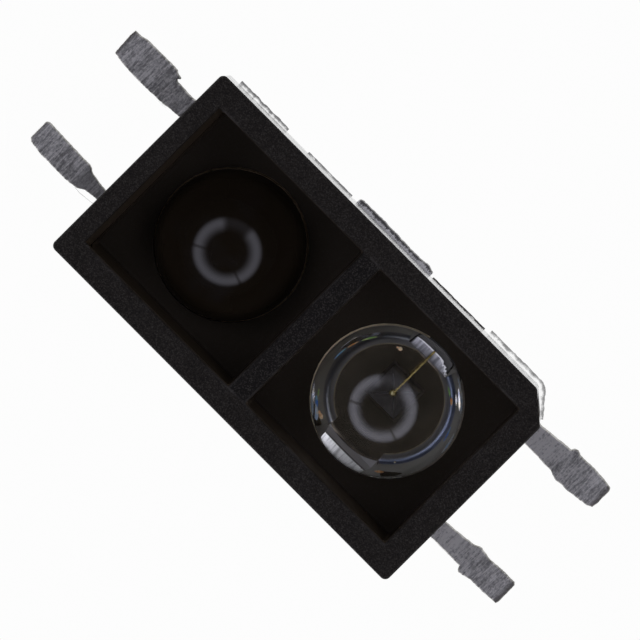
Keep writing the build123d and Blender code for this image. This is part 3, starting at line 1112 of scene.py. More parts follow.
@dataclass
class ResinMoulding:
    """One moulding's outer skin: drafted block, shoulder under the deck, barrel and dome."""

    end: End
    node: str
    finish: Finish
    slot: str
    inner_x: float = 0.25
    outer_x: float = 4.504
    half_width: float = 2.279
    draft: float = 5.0
    parting: float = 0.848
    corner: float = 0.10
    key_x: float = 0.47
    key_y: float = 0.60
    foot_edge: float = 0.03
    shoulder_x: Span = (0.33, 3.985)
    shoulder_half: float = 1.758
    shoulder_top: float = 1.07
    shoulder_corner: float = 0.05
    sunk: float = 0.2
    land_height: float = 0.020
    land_width: float = 0.012
    dome_from: float = 0.045
    dome_rows: int = 48
    mark_radius: float = 0.55
    mark_depth: float = 0.03
    crease: float = 32.0

    def ring(self, z: float, drawn_in: float) -> list[Point]:
        """The block's outline at one height.

        Args:
            z: the height.
            drawn_in: how far it lies inside the outline at the parting line.

        Returns:
            The outline's points.
        """
        x0, x1, w = self.inner_x + drawn_in, self.outer_x - drawn_in, self.half_width - drawn_in
        corners = [(x0, -w), (x1, -w)]
        if self.end is End.EMITTER:
            trim = drawn_in * 0.4
            corners += [(x1, w - self.key_y + trim), (x1 - self.key_x + trim, w)]
        else:
            corners.append((x1, w))
        corners.append((x0, w))
        outline = rounded(corners, [self.corner] * len(corners))
        return [(self.end.value * x, y, z) for x, y in outline]

    def block(self) -> Thing:
        """The drafted lower block.

        Returns:
            The block.
        """
        slope = math.tan(math.radians(self.draft))
        bottom = self.parting * slope
        rings = [self.ring(0.0, bottom + self.foot_edge),
                 self.ring(self.foot_edge, bottom - self.foot_edge * slope),
                 self.ring(self.parting, 0.0)]
        return piece_from(stacked(rings), self.node + "_block", self.finish)

    def shoulder(self) -> Thing:
        """The flat shoulder under the cap's deck.

        Returns:
            The shoulder, sunk into the block.
        """
        x0, x1 = self.shoulder_x
        w = self.shoulder_half
        outline = rounded([(x0, -w), (x1, -w), (x1, w), (x0, w)], [self.shoulder_corner] * 4, 4)
        rings = [[(self.end.value * x, y, z) for x, y in outline]
                 for z in (self.parting - self.sunk, self.shoulder_top)]
        return piece_from(stacked(rings), self.node + "_shoulder", self.finish)

    def dome(self) -> Thing:
        """Barrel and hemispherical dome, with the mould's narrow land between them.

        Returns:
            The barrel and dome, sunk into the block.
        """
        low, land = self.parting - self.sunk, DOME_BASE + self.land_height
        profile = [(0.0, low), (DOME_RADIUS, low), (DOME_RADIUS, DOME_BASE), (DOME_RADIUS, land),
                   (DOME_RADIUS - self.land_width, land + self.land_width)]
        for k in range(self.dome_rows):
            a = self.dome_from + (math.pi / 2 - self.dome_from) * k / self.dome_rows
            profile.append((DOME_RADIUS * math.cos(a), DOME_BASE + DOME_RADIUS * math.sin(a)))
        profile.append((0.0, DOME_BASE + DOME_RADIUS))
        mesh = turned(profile, (self.end.value * DOME_X, 0.0), segments=160)
        return piece_from(mesh, self.node + "_dome", self.finish)

    def ejector_pin(self) -> Thing:
        """The pin whose end leaves the shallow mark in the underside.

        Returns:
            The pin, which is cut out of the skin.
        """
        below, top, r = -0.05, self.mark_depth, self.mark_radius
        profile = [(0.0, below), (r, below), (r, top), (0.0, top)]
        mesh = turned(profile, (self.end.value * DOME_X, 0.0), segments=96)
        return piece_from(mesh, self.node + "_mark", self.finish)

    def build(self) -> Thing:
        """The finished moulding, standing for its CAD node.

        Returns:
            The piece.
        """
        mark = self.ejector_pin()
        parts = [self.block(), self.shoulder(), self.dome()]
        skin = united(parts, self.node + "_skin", self.crease, mark)
        return claim(skin, [self.node])


# ---------------------------------------------------------------------------------------------
# Lead frame
# ---------------------------------------------------------------------------------------------


@dataclass
class Lead:
    """One lead: its outside as sheared from the dam bar, and its run inside the resin."""

    node: str
    side: int
    outside: tuple[Spot, ...]
    arm: Span
    holds_die: bool
    seed: int
    drop: float = 0.12
    resin_x: float = 4.50
    post_half: float = 0.28
    post_edge: float = 0.59
    neck: Span = (-0.22, 0.34)
    step_back: float = 0.82
    step_outer: float = 0.71
    step_inner: float = 0.60
    step_front: float = 0.3
    paddle_radius: float = 0.605
    paddle_flat: float = 0.555
    paddle_edge: float = 0.065
    broken_edge: float = 0.018
    facet: float = 0.035
    rough: float = 0.0045
    rough_from: float = 4.62
    overlap: float = 0.001
    crease: float = 30.0

    def inside(self) -> list[Spot]:
        """Plan of the run inside the resin, from the -Y side round to the +Y side.

        Returns:
            The outline's points.
        """
        low, high = self.arm
        if self.holds_die:
            near, far = DOME_X + self.neck[0], DOME_X + self.neck[1]
            end = -self.step_outer
            return [(self.resin_x, low), (near, low), (near, end), (far, end), (far, high),
                    (self.resin_x, high)]
        near, far = CHIP[0] - self.post_half, CHIP[0] + self.post_half
        return [(self.resin_x, low), (far, low), (far, self.post_edge), (near, self.post_edge), (near, high),
                (self.resin_x, high)]

    def strip(self) -> Thing:
        """The flat strip: foot, neck and arm.

        Returns:
            The strip.
        """
        plan = [*self.inside(), *self.outside]
        turn = sum(a[0] * b[1] - b[0] * a[1] for a, b in zip(plan, plan[1:] + plan[:1]))
        if turn < 0:
            plan.reverse()
        if self.side < 0:
            plan = [(-x, y) for x, y in reversed(plan)]
        rough = ragged(plan, self.facet, lambda x, y: self.rough if abs(x) > self.rough_from else 0.0,
                       self.seed)
        return piece_from(plate(rough, FRAME_LOW, FRAME_HIGH, self.broken_edge), self.node + "_strip", LEAD)

    def step(self) -> Thing:
        """The set-down neck between arm and paddle.

        Returns:
            The neck, a hair inside the strip so that the two join cleanly.
        """
        top, under = FRAME_HIGH - self.overlap, FRAME_LOW + self.overlap
        section = [(-self.step_back, top), (-self.step_outer, top), (-self.step_inner, top - self.drop),
                   (-self.step_front, top - self.drop), (-self.step_front, under - self.drop),
                   (-self.step_inner, under - self.drop), (-self.step_outer, under), (-self.step_back, under)]
        ends = (DOME_X + self.neck[0] + self.overlap, DOME_X + self.neck[1] - self.overlap)
        rings = [[(self.side * x, y, z) for y, z in section] for x in ends]
        return piece_from(stacked(rings), self.node + "_step", LEAD)

    def paddle(self, facets: int = 64) -> Thing:
        """The round paddle that the chip sits on, with one flat side.

        Args:
            facets: how many facets follow its round part.

        Returns:
            The paddle.
        """
        start = math.asin(self.paddle_flat / self.paddle_radius)
        turn = math.pi + 2 * start
        outline = []
        for k in range(facets + 1):
            a = math.pi - start + turn * k / facets
            x, y = self.paddle_radius * math.cos(a), self.paddle_radius * math.sin(a)
            outline.append((self.side * DOME_X + x, y))
        mesh = plate(outline, FRAME_LOW - self.drop, FRAME_HIGH - self.drop, self.paddle_edge, steps=6)
        return piece_from(mesh, self.node + "_paddle", LEAD)

    def build(self) -> Thing:
        """The finished lead, standing for its CAD node.

        Returns:
            The piece.
        """
        name = self.node + "_sheared"
        if self.holds_die:
            made = united([self.strip(), self.step(), self.paddle()], name, self.crease)
        else:
            made = self.strip()
            made.name = name
        return claim(made, [self.node])


LEADS = (
    Lead("emitter_post_lead", 1, (
        (4.60, 1.755), (5.36, 1.832), (5.394, 1.900), (5.475, 1.918), (5.556, 1.884), (5.91, 1.894),
        (6.30, 1.871), (6.42, 1.848), (6.452, 1.79), (6.45, 1.434), (6.43, 1.345), (6.33, 1.294),
        (6.07, 1.255), (5.878, 1.226), (5.717, 1.232), (5.556, 1.207), (5.44, 1.232), (5.36, 1.272),
        (5.0, 1.282), (4.60, 1.289)),
        (1.294, 1.784), False, 11),
    Lead("emitter_die_lead", 1, (
        (4.60, -0.901), (4.845, -0.885), (5.10, -0.858), (5.33, -0.827), (5.426, -0.785), (5.49, -0.763),
        (5.588, -0.788), (5.78, -0.807), (6.04, -0.788), (6.41, -0.780), (6.452, -0.82), (6.456, -1.27),
        (6.43, -1.323), (6.07, -1.344), (5.75, -1.354), (5.588, -1.40), (5.49, -1.408), (5.442, -1.372),
        (5.42, -1.313), (5.0, -1.306), (4.60, -1.311)),
        (-1.302, -0.882), True, 12),
    Lead("detector_post_lead", -1, (
        (4.60, 1.455), (4.878, 1.444), (5.136, 1.457), (5.184, 1.500), (5.130, 1.545), (5.165, 1.564),
        (5.248, 1.586), (5.297, 1.619), (6.04, 1.625), (6.153, 1.613), (6.266, 1.58), (6.42, 1.58),
        (6.434, 1.52), (6.411, 1.06), (6.395, 1.002), (6.202, 0.971), (5.944, 0.944), (5.556, 0.944),
        (5.168, 0.957), (4.942, 0.977), (4.748, 0.996), (4.60, 1.010)),
        (0.988, 1.450), False, 13),
    Lead("detector_die_lead", -1, (
        (4.60, -1.045), (4.878, -1.021), (5.054, -0.985), (5.12, -0.934), (5.20, -0.911), (5.49, -0.905),
        (5.944, -0.885), (6.347, -0.877), (6.395, -0.915), (6.392, -1.34), (6.331, -1.387), (6.04, -1.43),
        (5.556, -1.436), (5.266, -1.43), (5.054, -1.395), (4.926, -1.313), (4.748, -1.287), (4.60, -1.276)),
        (-1.312, -1.010), True, 14),
)


@dataclass
class TieBar:
    """A stub of the lead frame at the middle of a long side, sheared ragged."""

    node: str
    side: int
    seed: int
    half: float = 1.015
    inner: float = 1.756
    outer: float = 2.400
    facet: float = 0.03
    rough: float = 0.007
    rough_from: float = 2.3
    broken_edge: float = 0.012
    torn_end: tuple[Spot, ...] = ((0.86, 0.0), (0.35, 0.02), (-0.3, 0.0), (-0.9, 0.005))

    def build(self) -> Thing:
        """The finished stub, standing for its CAD node.

        Returns:
            The piece.
        """
        corners = [(-self.half, self.inner), (self.half, self.inner), (self.half, self.outer - 0.03),
                   *((x, self.outer - short) for x, short in self.torn_end), (-self.half, self.outer - 0.02)]
        plan = rounded(corners, [0.0, 0.0, 0.05, 0.1, 0.1, 0.1, 0.05, 0.05], 3)
        plan = ragged(plan, self.facet, lambda x, y: self.rough if y > self.rough_from else 0.0, self.seed)
        if self.side < 0:
            plan = [(x, -y) for x, y in reversed(plan)]
        mesh = plate(plan, FRAME_LOW, FRAME_HIGH, self.broken_edge)
        return claim(piece_from(mesh, self.node + "_sheared", LEAD), [self.node])


# ---------------------------------------------------------------------------------------------
# Resin flash
# ---------------------------------------------------------------------------------------------


class FringeTree:
    """Geometry Nodes that lay a ragged ledge of resin along a path."""

    name = "ragged_fringe"
    sizes: tuple[tuple[str, str], ...] = (
        ("Reach", "NodeSocketFloat"), ("Thickness", "NodeSocketFloat"), ("Raggedness", "NodeSocketFloat"),
        ("Step", "NodeSocketFloat"), ("Seed", "NodeSocketFloat"), ("Finish", "NodeSocketMaterial"))
    taper: float = 14.0
    blunt: float = 0.1
    tear: float = 9000.0

    def interface(self, tree: bpy.types.NodeTree) -> None:
        """Gives the tree its named inputs and its output.

        Args:
            tree: the tree.
        """
        tree.interface.new_socket("Path", in_out="INPUT", socket_type="NodeSocketGeometry")
        for label, kind in self.sizes:
            tree.interface.new_socket(label, in_out="INPUT", socket_type=kind)
        tree.interface.new_socket("Fringe", in_out="OUTPUT", socket_type="NodeSocketGeometry")

    def path(self, graph: NodeGraph, given: Any) -> Node:
        """The path in short steps, thin at both ends, with each point's outward side caught as Out.

        Args:
            graph: the tree's graph.
            given: the tree's inputs.

        Returns:
            The node that gives Geometry and Out.
        """
        line = graph.add("GeometryNodeMeshToCurve", None, {"Mesh": given["Path"]})
        line = graph.add("GeometryNodeResampleCurve", {"mode": "LENGTH"},
                         {"Curve": line.outputs[0], "Length": given["Step"]})
        along = Value(graph, graph.add("GeometryNodeSplineParameter").outputs["Factor"])
        taper = (along * (1 - along) * self.taper + self.blunt).minimum(1.0)
        line = graph.add("GeometryNodeSetCurveRadius", None, {"Curve": line.outputs[0], "Radius": taper})
        line = graph.add("GeometryNodeSetCurveNormal", {"mode": "Z_UP"}, {"Curve": line.outputs[0]})
        caught = graph.add("GeometryNodeCaptureAttribute", None, {"Geometry": line.outputs[0]})
        caught.capture_items.new("VECTOR", "Out")
        graph.put(caught.inputs["Out"], graph.add("GeometryNodeInputNormal").outputs[0])
        return caught

    def section(self, graph: NodeGraph, given: Any) -> Any:
        """The ledge's flat section, from the path outwards, with its share of the reach stored.

        Args:
            graph: the tree's graph.
            given: the tree's inputs.

        Returns:
            The curve output.
        """
        shape = graph.add("GeometryNodeCurvePrimitiveQuadrilateral", {"mode": "RECTANGLE"},
                          {"Width": given["Reach"], "Height": given["Thickness"]})
        half = Value(graph, given["Reach"]) * 0.5
        shift = graph.add("CombineXYZ", None, {0: half}).outputs[0]
        moved = graph.add("GeometryNodeTransform", None, {"Geometry": shape.outputs[0], "Translation": shift})
        place = graph.add("GeometryNodeInputPosition").outputs[0]
        across = graph.add("SeparateXYZ", None, {0: place}).outputs[0]
        share = Value(graph, across) / Value(graph, given["Reach"])
        stored = graph.add("GeometryNodeStoreNamedAttribute", {"data_type": "FLOAT", "domain": "POINT"},
                           {"Geometry": moved.outputs[0], "Name": REACH, "Value": share})
        return stored.outputs[0]

    def build(self) -> bpy.types.NodeTree:
        """Builds the tree on first use.

        Returns:
            The tree.
        """
        known = bpy.data.node_groups.get(self.name)
        if known is not None:
            return known
        tree = bpy.data.node_groups.new(self.name, "GeometryNodeTree")
        self.interface(tree)
        graph = NodeGraph(tree)
        given = graph.add("NodeGroupInput").outputs
        path = self.path(graph, given)
        swept = graph.add("GeometryNodeCurveToMesh", None, {
            "Curve": path.outputs["Geometry"], "Profile Curve": self.section(graph, given), "Fill Caps": True})
        stored = graph.add("GeometryNodeInputNamedAttribute", {"data_type": "FLOAT"}, {"Name": REACH})
        reach = Value(graph, stored.outputs["Attribute"])
        noise = graph.add("TexNoise", {"noise_dimensions": "4D"},
                          {"W": given["Seed"], "Scale": self.tear, "Detail": 3.0})
        push = (Value(graph, noise.outputs[0]) - 0.5) * Value(graph, given["Raggedness"]) * reach
        offset = graph.add("VectorMath", {"operation": "SCALE"}, {0: path.outputs["Out"], "Scale": push})
        pushed = graph.add("GeometryNodeSetPosition", None,
                           {"Geometry": swept.outputs[0], "Offset": offset.outputs[0]})
        whole = graph.add("GeometryNodeRealizeInstances", None, {"Geometry": pushed.outputs[0]})
        finished = graph.add("GeometryNodeSetMaterial", None,
                             {"Geometry": whole.outputs[0], "Material": given["Finish"]})
        graph.add("NodeGroupOutput", None, {0: finished.outputs[0]})
        return tree


@dataclass
class FlashFringe:
    """Resin flash along the parting line under the cap, in short runs of different reach."""

    name: str
    finish: Finish
    slot: str
    runs: tuple[tuple[tuple[Spot, ...], float, float], ...]
    seed: float
    height: float = 0.83
    thickness: float = 0.036
    facet: float = 0.025

    def run(self, number: int, path: Outline, reach: float, ragged_by: float) -> Any:
        """One run of flash.

        Args:
            number: which run it is.
            path: its inner edge in plan.
            reach: how far it stands out from that edge.
            ragged_by: how far its broken edge wanders.

        Returns:
            The run's object.
        """
        mesh = bpy.data.meshes.new(f"{self.name}_{number}")
        mesh.from_pydata([(x * MM, y * MM, self.height * MM) for x, y in reversed(path)],
                         [(i, i + 1) for i in range(len(path) - 1)], [])
        thing = bpy.data.objects.new(mesh.name, mesh)
        bpy.context.scene.collection.objects.link(thing)
        tree = FringeTree().build()
        nodes = thing.modifiers.new("fringe", "NODES")
        nodes.node_group = tree
        sizes = {"Reach": reach * MM, "Thickness": self.thickness * MM, "Raggedness": ragged_by * MM,
                 "Step": self.facet * MM, "Seed": self.seed + number, "Finish": self.finish.material()}
        for socket in tree.interface.items_tree:
            if socket.in_out == "INPUT" and socket.name in sizes:
                nodes[socket.identifier] = sizes[socket.name]
        return plain(thing, mesh.name)

    def build(self) -> Thing:
        """All runs as one piece.

        Returns:
            The piece.
        """
        made = [self.run(i, *run) for i, run in enumerate(self.runs)]
        joined = bmesh.new()
        for thing in made:
            joined.from_mesh(thing.data)
        bmesh.ops.recalc_face_normals(joined, faces=joined.faces)
        first, *others = made
        joined.to_mesh(first.data)
        joined.free()
        for thing in others:
            bpy.data.objects.remove(thing)
        first.name = self.name
        LOG.info("piece %s: %d faces", self.name, len(first.data.polygons))
        return claim(first)


FRINGES = (
    FlashFringe("clear_flash", FLASH, "clear_resin", (
        (((2.62, 2.19), (4.02, 2.19), (4.40, 1.74)), 0.20, 0.06),
        (((4.26, -2.19), (2.62, -2.19)), 0.185, 0.06),
        (((2.46, -2.19), (1.10, -2.19)), 0.14, 0.04)), 3.0),
    FlashFringe("dark_flash", DARK_FLASH, "infrared_resin", (
        (((-4.26, 2.19), (-2.95, 2.19)), 0.18, 0.07),
        (((-2.36, 2.19), (-1.16, 2.19)), 0.13, 0.03),
        (((-2.62, -2.19), (-4.26, -2.19)), 0.185, 0.06),
        (((-1.10, -2.19), (-2.46, -2.19)), 0.14, 0.04)), 20.0),
    FlashFringe("dark_edged_flash", LINE_FLASH, "clear_resin", (
        (((1.08, 2.19), (2.50, 2.19)), 0.13, 0.03),), 31.0),
    FlashFringe("resin_whisker", FLASH, "clear_resin", (
        (((-5.12, -1.44), (-4.98, -1.455), (-4.80, -1.44), (-4.50, -1.40)), 0.022, 0.012),
        (((-5.20, 0.93), (-5.06, 0.90), (-4.94, 0.925)), 0.05, 0.06)), 41.0, 0.70, 0.02),
)


# ---------------------------------------------------------------------------------------------
# Chip metal and painted glints in the clear resin
# ---------------------------------------------------------------------------------------------


@dataclass
class ChipElectrode:
    """Thin metal on the emitter chip: a pad under the bond and four arms towards the corners."""

    top: float = 0.93
    pad: float = 0.05
    pad_cut: float = 0.2
    arm_reach: float = 0.215
    arm_half: float = 0.007
    thickness: float = 0.003

    def arm(self, along: float) -> list[Spot]:
        """One arm's outline, with the pad's edge before it, behind it and half way to the next arm.

        Args:
            along: the arm's direction in radians.

        Returns:
            The outline's points, counter-clockwise.
        """
        def on_pad(a: float) -> Spot:
            """A point of the pad's edge in a direction."""
            return CHIP[0] + self.pad * math.cos(a), CHIP[1] + self.pad * math.sin(a)

        tip = [(CHIP[0] + self.arm_reach * math.cos(along) - sense * self.arm_half * math.sin(along),
                CHIP[1] + self.arm_reach * math.sin(along) + sense * self.arm_half * math.cos(along))
               for sense in (-1, 1)]
        return [on_pad(along - self.pad_cut), *tip, on_pad(along + self.pad_cut), on_pad(along + math.pi / 4)]

    def build(self) -> Thing:
        """The finished electrode.

        Returns:
            The piece.
        """
        outline = [spot for k in range(4) for spot in self.arm(math.pi / 4 + k * math.pi / 2)]
        rings = [[(x, y, self.top + z) for x, y in outline] for z in (0.0, self.thickness)]
        return claim(piece_from(stacked(rings), "emitter_electrode", ELECTRODE))


@dataclass(frozen=True)
class Crescent:
    """One thin glint patch: where it is seen on the dome, by azimuth and by share of the dome's radius."""

    start: float
    end: float
    inner: float
    outer: float


@dataclass
class SkirtGlints:
    """Painted glints in the clear resin near the dome's skirt: thin crescents and beads placed so that the
    dome shows them as glints.
    """

    name: str
    finish: Finish
    crescents: tuple[Crescent, ...]
    beads: tuple[tuple[float, float, float], ...] = ()
    level: float = 1.42
    tilt: float = 45.0
    thickness: float = 0.004
    facet: float = 1.5
    blunt: float = 0.015

    def seen_at(self, share: float) -> float:
        """Where a glint patch must lie so that the dome shows it at a share of its radius.

        Args:
            share: the share of the dome's radius.

        Returns:
            The plan radius at the voids' level.
        """
        steep = math.asin(share)
        bend = steep - math.asin(share / RESIN_INDEX)
        entry = DOME_BASE + DOME_RADIUS * math.cos(steep)
        return DOME_RADIUS * share - (entry - self.level) * math.tan(bend)

    def add_crescent(self, whole: bmesh.types.BMesh, crescent: Crescent) -> None:
        """Adds one crescent, a thin tilted strip that narrows towards both ends.

        Args:
            whole: the mesh that takes it.
            crescent: where it is seen.
        """
        inner, outer = self.seen_at(crescent.inner), self.seen_at(crescent.outer)
        middle = (outer + inner) / 2
        drop = (outer - inner) * math.tan(math.radians(self.tilt)) / 2
        count = max(3, math.ceil((crescent.end - crescent.start) / self.facet))
        rows = []
        for k in range(count + 1):
            a = math.radians(crescent.start + (crescent.end - crescent.start) * k / count)
            swell = math.sqrt(max(self.blunt, math.sin(math.pi * k / count)))
            half = (outer - inner) / 2 * swell
            section = ((middle - half, drop * swell), (middle + half, -drop * swell),
                       (middle + half, -drop * swell - self.thickness),
                       (middle - half, drop * swell - self.thickness))
            rows.append([whole.verts.new((DOME_X + r * math.cos(a), r * math.sin(a), self.level + z))
                         for r, z in section])
        for first, second in zip(rows, rows[1:]):
            for i in range(4):
                j = (i + 1) % 4
                whole.faces.new((first[i], first[j], second[j], second[i]))
        whole.faces.new(rows[0])
        whole.faces.new(rows[-1][::-1])

    def build(self) -> Thing:
        """The finished glint patches.

        Returns:
            The piece.
        """
        whole = bmesh.new()
        for crescent in self.crescents:
            self.add_crescent(whole, crescent)
        for azimuth, share, size in self.beads:
            a, r = math.radians(azimuth), self.seen_at(share)
            spot = Matrix.Translation((DOME_X + r * math.cos(a), r * math.sin(a), self.level))
            bmesh.ops.create_icosphere(whole, subdivisions=2, radius=size, matrix=spot)
        bmesh.ops.recalc_face_normals(whole, faces=whole.faces)
        return claim(piece_from(whole, self.name, self.finish))


# painted glints round the emitter dome's skirt, each set with its own finish
GLINTS = (
    SkirtGlints("skirt_glints", GLINT,
               (Crescent(210.0, 239.0, 0.940, 0.988), Crescent(38.0, 56.0, 0.957, 0.973),
                Crescent(140.0, 176.0, 0.89, 0.925), Crescent(41.0, 52.0, 0.915, 0.93)),
               ((294.4, 0.914, 0.016), (323.0, 0.78, 0.016))),
    SkirtGlints("frosted_skirt", FROST,
               (Crescent(2.0, 20.0, 0.972, 0.985), Crescent(36.0, 64.0, 0.98, 0.99),
                Crescent(219.0, 236.0, 0.960, 0.985), Crescent(226.0, 240.0, 0.900, 0.950)),
               ((231.5, 0.925, 0.045), (228.0, 0.945, 0.03))),
    SkirtGlints("amber_skirt", AMBER,
               (Crescent(42.0, 49.0, 0.850, 0.872), Crescent(305.0, 313.0, 0.890, 0.912),
                Crescent(160.0, 171.0, 0.868, 0.880)),
               ((120.4, 0.731, 0.034), (123.5, 0.742, 0.018), (237.5, 0.862, 0.048), (234.0, 0.872, 0.03))),
    SkirtGlints("verdant_skirt", VERDANT,
               (Crescent(50.0, 59.0, 0.838, 0.852), Crescent(143.0, 157.0, 0.862, 0.876),
                Crescent(214.0, 221.0, 0.880, 0.892))),
    SkirtGlints("azure_skirt", AZURE,
               (Crescent(220.0, 232.0, 0.890, 0.922), Crescent(172.0, 186.0, 0.872, 0.884),
                Crescent(10.0, 24.0, 0.900, 0.910))),
)


def build_scene() -> None:
    """Mouldings, leads, tie bars, flash and chip metal."""
    for glints in GLINTS:
        glints.build()
    ResinMoulding(End.EMITTER, "emitter_body", CLEAR, "clear_resin").build()
    ResinMoulding(End.DETECTOR, "detector_body", BLACK_RESIN, "infrared_resin").build()
    for lead in LEADS:
        lead.build()
    TieBar("tie_bar_plus_y", 1, 31).build()
    TieBar("tie_bar_minus_y", -1, 32).build()
    for fringe in FRINGES:
        fringe.build()
    ChipElectrode().build()


# ---------------------------------------------------------------------------------------------
# Studio
# ---------------------------------------------------------------------------------------------


@dataclass
class Camera:
    """A long lens almost straight above the sensor, leaning towards its +Y side."""

    lean: float = 5.0
    turn: float = 45.12
    pixels: int = 640
    scale: float = 51.6
    lens: float = 1000.0
    sensor: float = 36.0
    centre: Spot = (-15.8, 7.8)
    top: float = 2.80
    clip: Span = (0.01, 10.0)

    def build(self) -> Thing:
        """Places the camera.

        Returns:
            The camera.
        """
        lean, turn = math.radians(self.lean), math.radians(self.turn)
        back = Vector((0.0, math.sin(lean), math.cos(lean)))
        across = Vector((0.0, math.cos(lean), -math.sin(lean)))
        along = Vector((1.0, 0.0, 0.0))
        right = along * math.cos(turn) + across * math.sin(turn)
        up = across * math.cos(turn) - along * math.sin(turn)
        distance = self.pixels * self.lens / (self.sensor * self.scale)
        aim = Vector((0.0, 0.0, self.top))
        aim += right * (-self.centre[0] / self.scale) + up * (self.centre[1] / self.scale)
        data = bpy.data.cameras.new("camera")
        data.lens = self.lens
        data.sensor_width = self.sensor
        data.clip_start, data.clip_end = self.clip
        camera = bpy.data.objects.new("camera", data)
        bpy.context.scene.collection.objects.link(camera)
        basis = Matrix((right, up, back)).transposed().to_4x4()
        camera.matrix_world = Matrix.Translation((aim + back * distance) * MM) @ basis
        bpy.context.scene.camera = camera
        return camera


@dataclass(frozen=True)
class RingGlow(Finish):
    """Glow of the ring lamp: soft at both edges, dim over one wide gap and nicked at two joints."""

    name: str
    colour: Colour
    strength: float
    across: Point
    along: Point
    inner: float
    outer: float
    gaps: tuple[tuple[float, float, float], ...]
    soft: float = 0.47

    def dress(self, graph: NodeGraph, shader: Node) -> None:
        """Emission by radius and angle.

        Args:
            graph: the material's graph.
            shader: its Principled node.
        """
        place = graph.place()
        dots = [graph.add("VectorMath", {"operation": "DOT_PRODUCT"}, {0: place, 1: axis}).outputs["Value"]
                for axis in (self.across, self.along)]
        dx, dy = (Value(graph, dot) / MM for dot in dots)
        radius = (dx * dx + dy * dy) ** 0.5
        edge = (self.outer - self.inner) * self.soft
        level = radius.ramp(self.inner, self.inner + edge) * radius.fall(self.outer - edge, self.outer)
        for middle, half, depth in self.gaps:
            a = math.radians(middle)
            facing = (dx * math.cos(a) + dy * math.sin(a)) / radius
            soft = max(1.5, half * 0.35)
            outside, inside = (math.cos(math.radians(turn)) for turn in (half + soft, max(half - soft, 0.1)))
            level = level * (1 - facing.ramp(outside, inside) * depth)
        graph.fill(shader, {
            "Base Color": BLACK,
            "Specular IOR Level": 0.0,
            "Emission Color": graph.mixed(level, BLACK, self.colour),
            "Emission Strength": self.strength})


@dataclass
class RingLamp:
    """A broken ring of light round the lens, seen as the pale rings on the domes."""

    height: float = 120.0
    inner: float = 27.0
    outer: float = 56.0
    tilt_x: float = 3.4
    tilt_y: float = -7.7
    strength: float = 1.90
    colour: Colour = (0.93, 0.93, 1.10)
    gaps: tuple[tuple[float, float, float], ...] = ((113.0, 27.0, 0.85), (216.0, 2.4, 0.6), (334.0, 2.4, 0.6))
    facets: int = 180

    def build(self) -> Thing:
        """Builds the glowing ring.

        Returns:
            The ring, staged.
        """
        lean = [math.tan(math.radians(tilt)) for tilt in (self.tilt_x, self.tilt_y)]
        axis = Vector((*lean, 1.0)).normalized()
        along = axis.cross(Vector((1.0, 0.0, 0.0))).normalized()
        across = along.cross(axis)
        inner, outer = (self.height * math.tan(math.radians(angle)) for angle in (self.inner, self.outer))
        turn = [2 * math.pi * k / self.facets for k in range(self.facets)]
        mesh = bmesh.new()
        spokes = [across * math.cos(a) + along * math.sin(a) for a in turn]
        near, far = ([mesh.verts.new(axis * self.height + spoke * radius) for spoke in spokes]
                     for radius in (inner, outer))
        for i in range(self.facets):
            j = (i + 1) % self.facets
            mesh.faces.new((near[i], near[j], far[j], far[i]))
        glow = RingGlow("ring_glow", self.colour, self.strength, tuple(across), tuple(along), inner, outer,
                        self.gaps)
        ring = piece_from(mesh, "ring_lamp", glow)
        ring.visible_camera = False
        return ring


@dataclass(frozen=True)
class FloorPaper(Finish):
    """White paper that reads as plain white to the camera and in reflections, with a painted shadow under the
    sensor.
    """

    name: str = "floor_paper"
    white: Colour = (0.80, 0.80, 0.80)
    # painted shadow under the body: dark from the emitter dome's axis towards +X, a warm pale tone elsewhere
    dark: Colour = (0.21, 0.18, 0.15)
    dim: Colour = (0.82, 0.70, 0.49)
    # half sizes of the painted shadow under the body
    pad: Spot = (4.40, 2.18)
    pad_soft: float = 0.06
    key_slope: float = 1.22
    key: Span = (6.70, 6.85)
    dim_ends: Span = (1.85, 2.15)
    brightness: float = 0.98

    def under(self, graph: NodeGraph) -> Value:
        """Where the painted shadow lies: under the sensor's body, less its cut corner.

        Args:
            graph: the material's graph.

        Returns:
            1 under the body, 0 away from it.
        """
        x, y, _ = graph.axes()
        reach = [abs(axis).fall(half - self.pad_soft, half + self.pad_soft)
                 for axis, half in zip((x, y), self.pad)]
        return reach[0] * reach[1] * (x * self.key_slope + y).fall(*self.key)

    def dress(self, graph: NodeGraph, shader: Node) -> None:
        """Matte white with a painted shadow under the body, dark from the emitter dome's axis towards +X.

        Args:
            graph: the material's graph.
            shader: its Principled node.
        """
        # painted shadow: the floor under the body, dark from the emitter dome's axis towards +X
        patch = graph.mixed(graph.axes()[0].ramp(*self.dim_ends), self.dim, self.dark)
        graph.fill(shader, {
            "Base Color": graph.mixed(self.under(graph), self.white, patch),
            "Roughness": 0.9,
            "Specular IOR Level": 0.0})

    def surface(self, graph: NodeGraph, shader: Node) -> Any:
        """Adds plain white for what looks at it, kept off the painted shadow under the sensor.

        Args:
            graph: the material's graph.
            shader: its Principled node.

        Returns:
            A shader output.
        """
        path = graph.add("LightPath")
        camera, glossy, through = (Value(graph, path.outputs[f"Is {kind} Ray"])
                                   for kind in ("Camera", "Glossy", "Transmission"))
        share = camera.maximum(glossy).maximum(through) * (1 - self.under(graph))
        glow = graph.add("Emission", None, {"Color": WHITE, "Strength": self.brightness})
        above = graph.add("MixShader", None, {0: share, 1: shader.outputs[0], 2: glow.outputs[0]}).outputs[0]
        below = graph.add("NewGeometry").outputs["Backfacing"]
        nothing = graph.add("BsdfTransparent").outputs[0]
        return graph.add("MixShader", None, {0: below, 1: above, 2: nothing}).outputs[0]


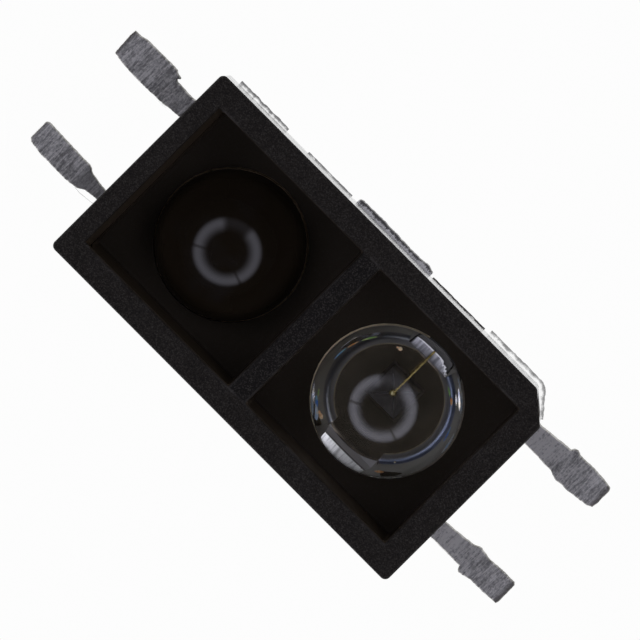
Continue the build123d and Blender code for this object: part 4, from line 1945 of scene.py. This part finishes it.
def build_floor(half: float = 2500.0, height: float = -0.004) -> Thing:
    """A large plain floor just under the resin.

    Args:
        half: half its side.
        height: how high it lies, just below the underside so that the two don't coincide.

    Returns:
        The floor, staged.
    """
    mesh = bmesh.new()
    bmesh.ops.create_grid(mesh, x_segments=1, y_segments=1, size=half)
    bmesh.ops.translate(mesh, vec=(0.0, 0.0, height), verts=mesh.verts)
    floor = piece_from(mesh, "floor", FloorPaper())
    return floor


def build_world(fill: float = 0.24, horizon: float = 0.95, ceiling: float = 0.012) -> None:
    """A dark studio ceiling over a white horizon, with a soft grey fill for matte surfaces.

    Args:
        fill: the light on matte surfaces.
        horizon: how bright reflections see the horizon.
        ceiling: how bright they see the ceiling.
    """
    world = bpy.data.worlds.new("studio")
    world.use_nodes = True
    bpy.context.scene.world = world
    world.node_tree.nodes.clear()
    graph = NodeGraph(world.node_tree)
    path = graph.add("LightPath")
    camera, diffuse = (Value(graph, path.outputs[f"Is {kind} Ray"]) for kind in ("Camera", "Diffuse"))
    height = graph.add("SeparateXYZ", None, {0: graph.add("TexCoord").outputs["Generated"]}).outputs[2]
    sharp = Value(graph, height).ramp(0.0, 0.09, horizon, ceiling)
    strength = camera.maximum(diffuse * fill).maximum(sharp * (1 - diffuse))
    back = graph.add("Background", None, {"Color": WHITE, "Strength": strength})
    graph.add("OutputWorld", None, {"Surface": back.outputs[0]})


DRESSED_NODES = {
    "housing": CAP,
    "emitter_die": EMITTER_CHIP,
    "detector_die": DETECTOR_CHIP,
    "emitter_die_attach": ADHESIVE,
    "detector_die_attach": ADHESIVE,
    "emitter_bond_wire": GOLD,
    "detector_bond_wire": GOLD,
}


def main() -> None:
    """Builds the sensor and its studio, piece by piece."""
    logging.basicConfig(level=logging.INFO, format="%(name)s: %(message)s")
    Camera().build()
    build_scene()
    for node, finish in DRESSED_NODES.items():
        dress_node(node, finish)
    RingLamp().build()
    build_floor()
    build_world()
    bpy.context.scene.view_settings.view_transform = "Standard"


if __name__ == "__main__":
    main()
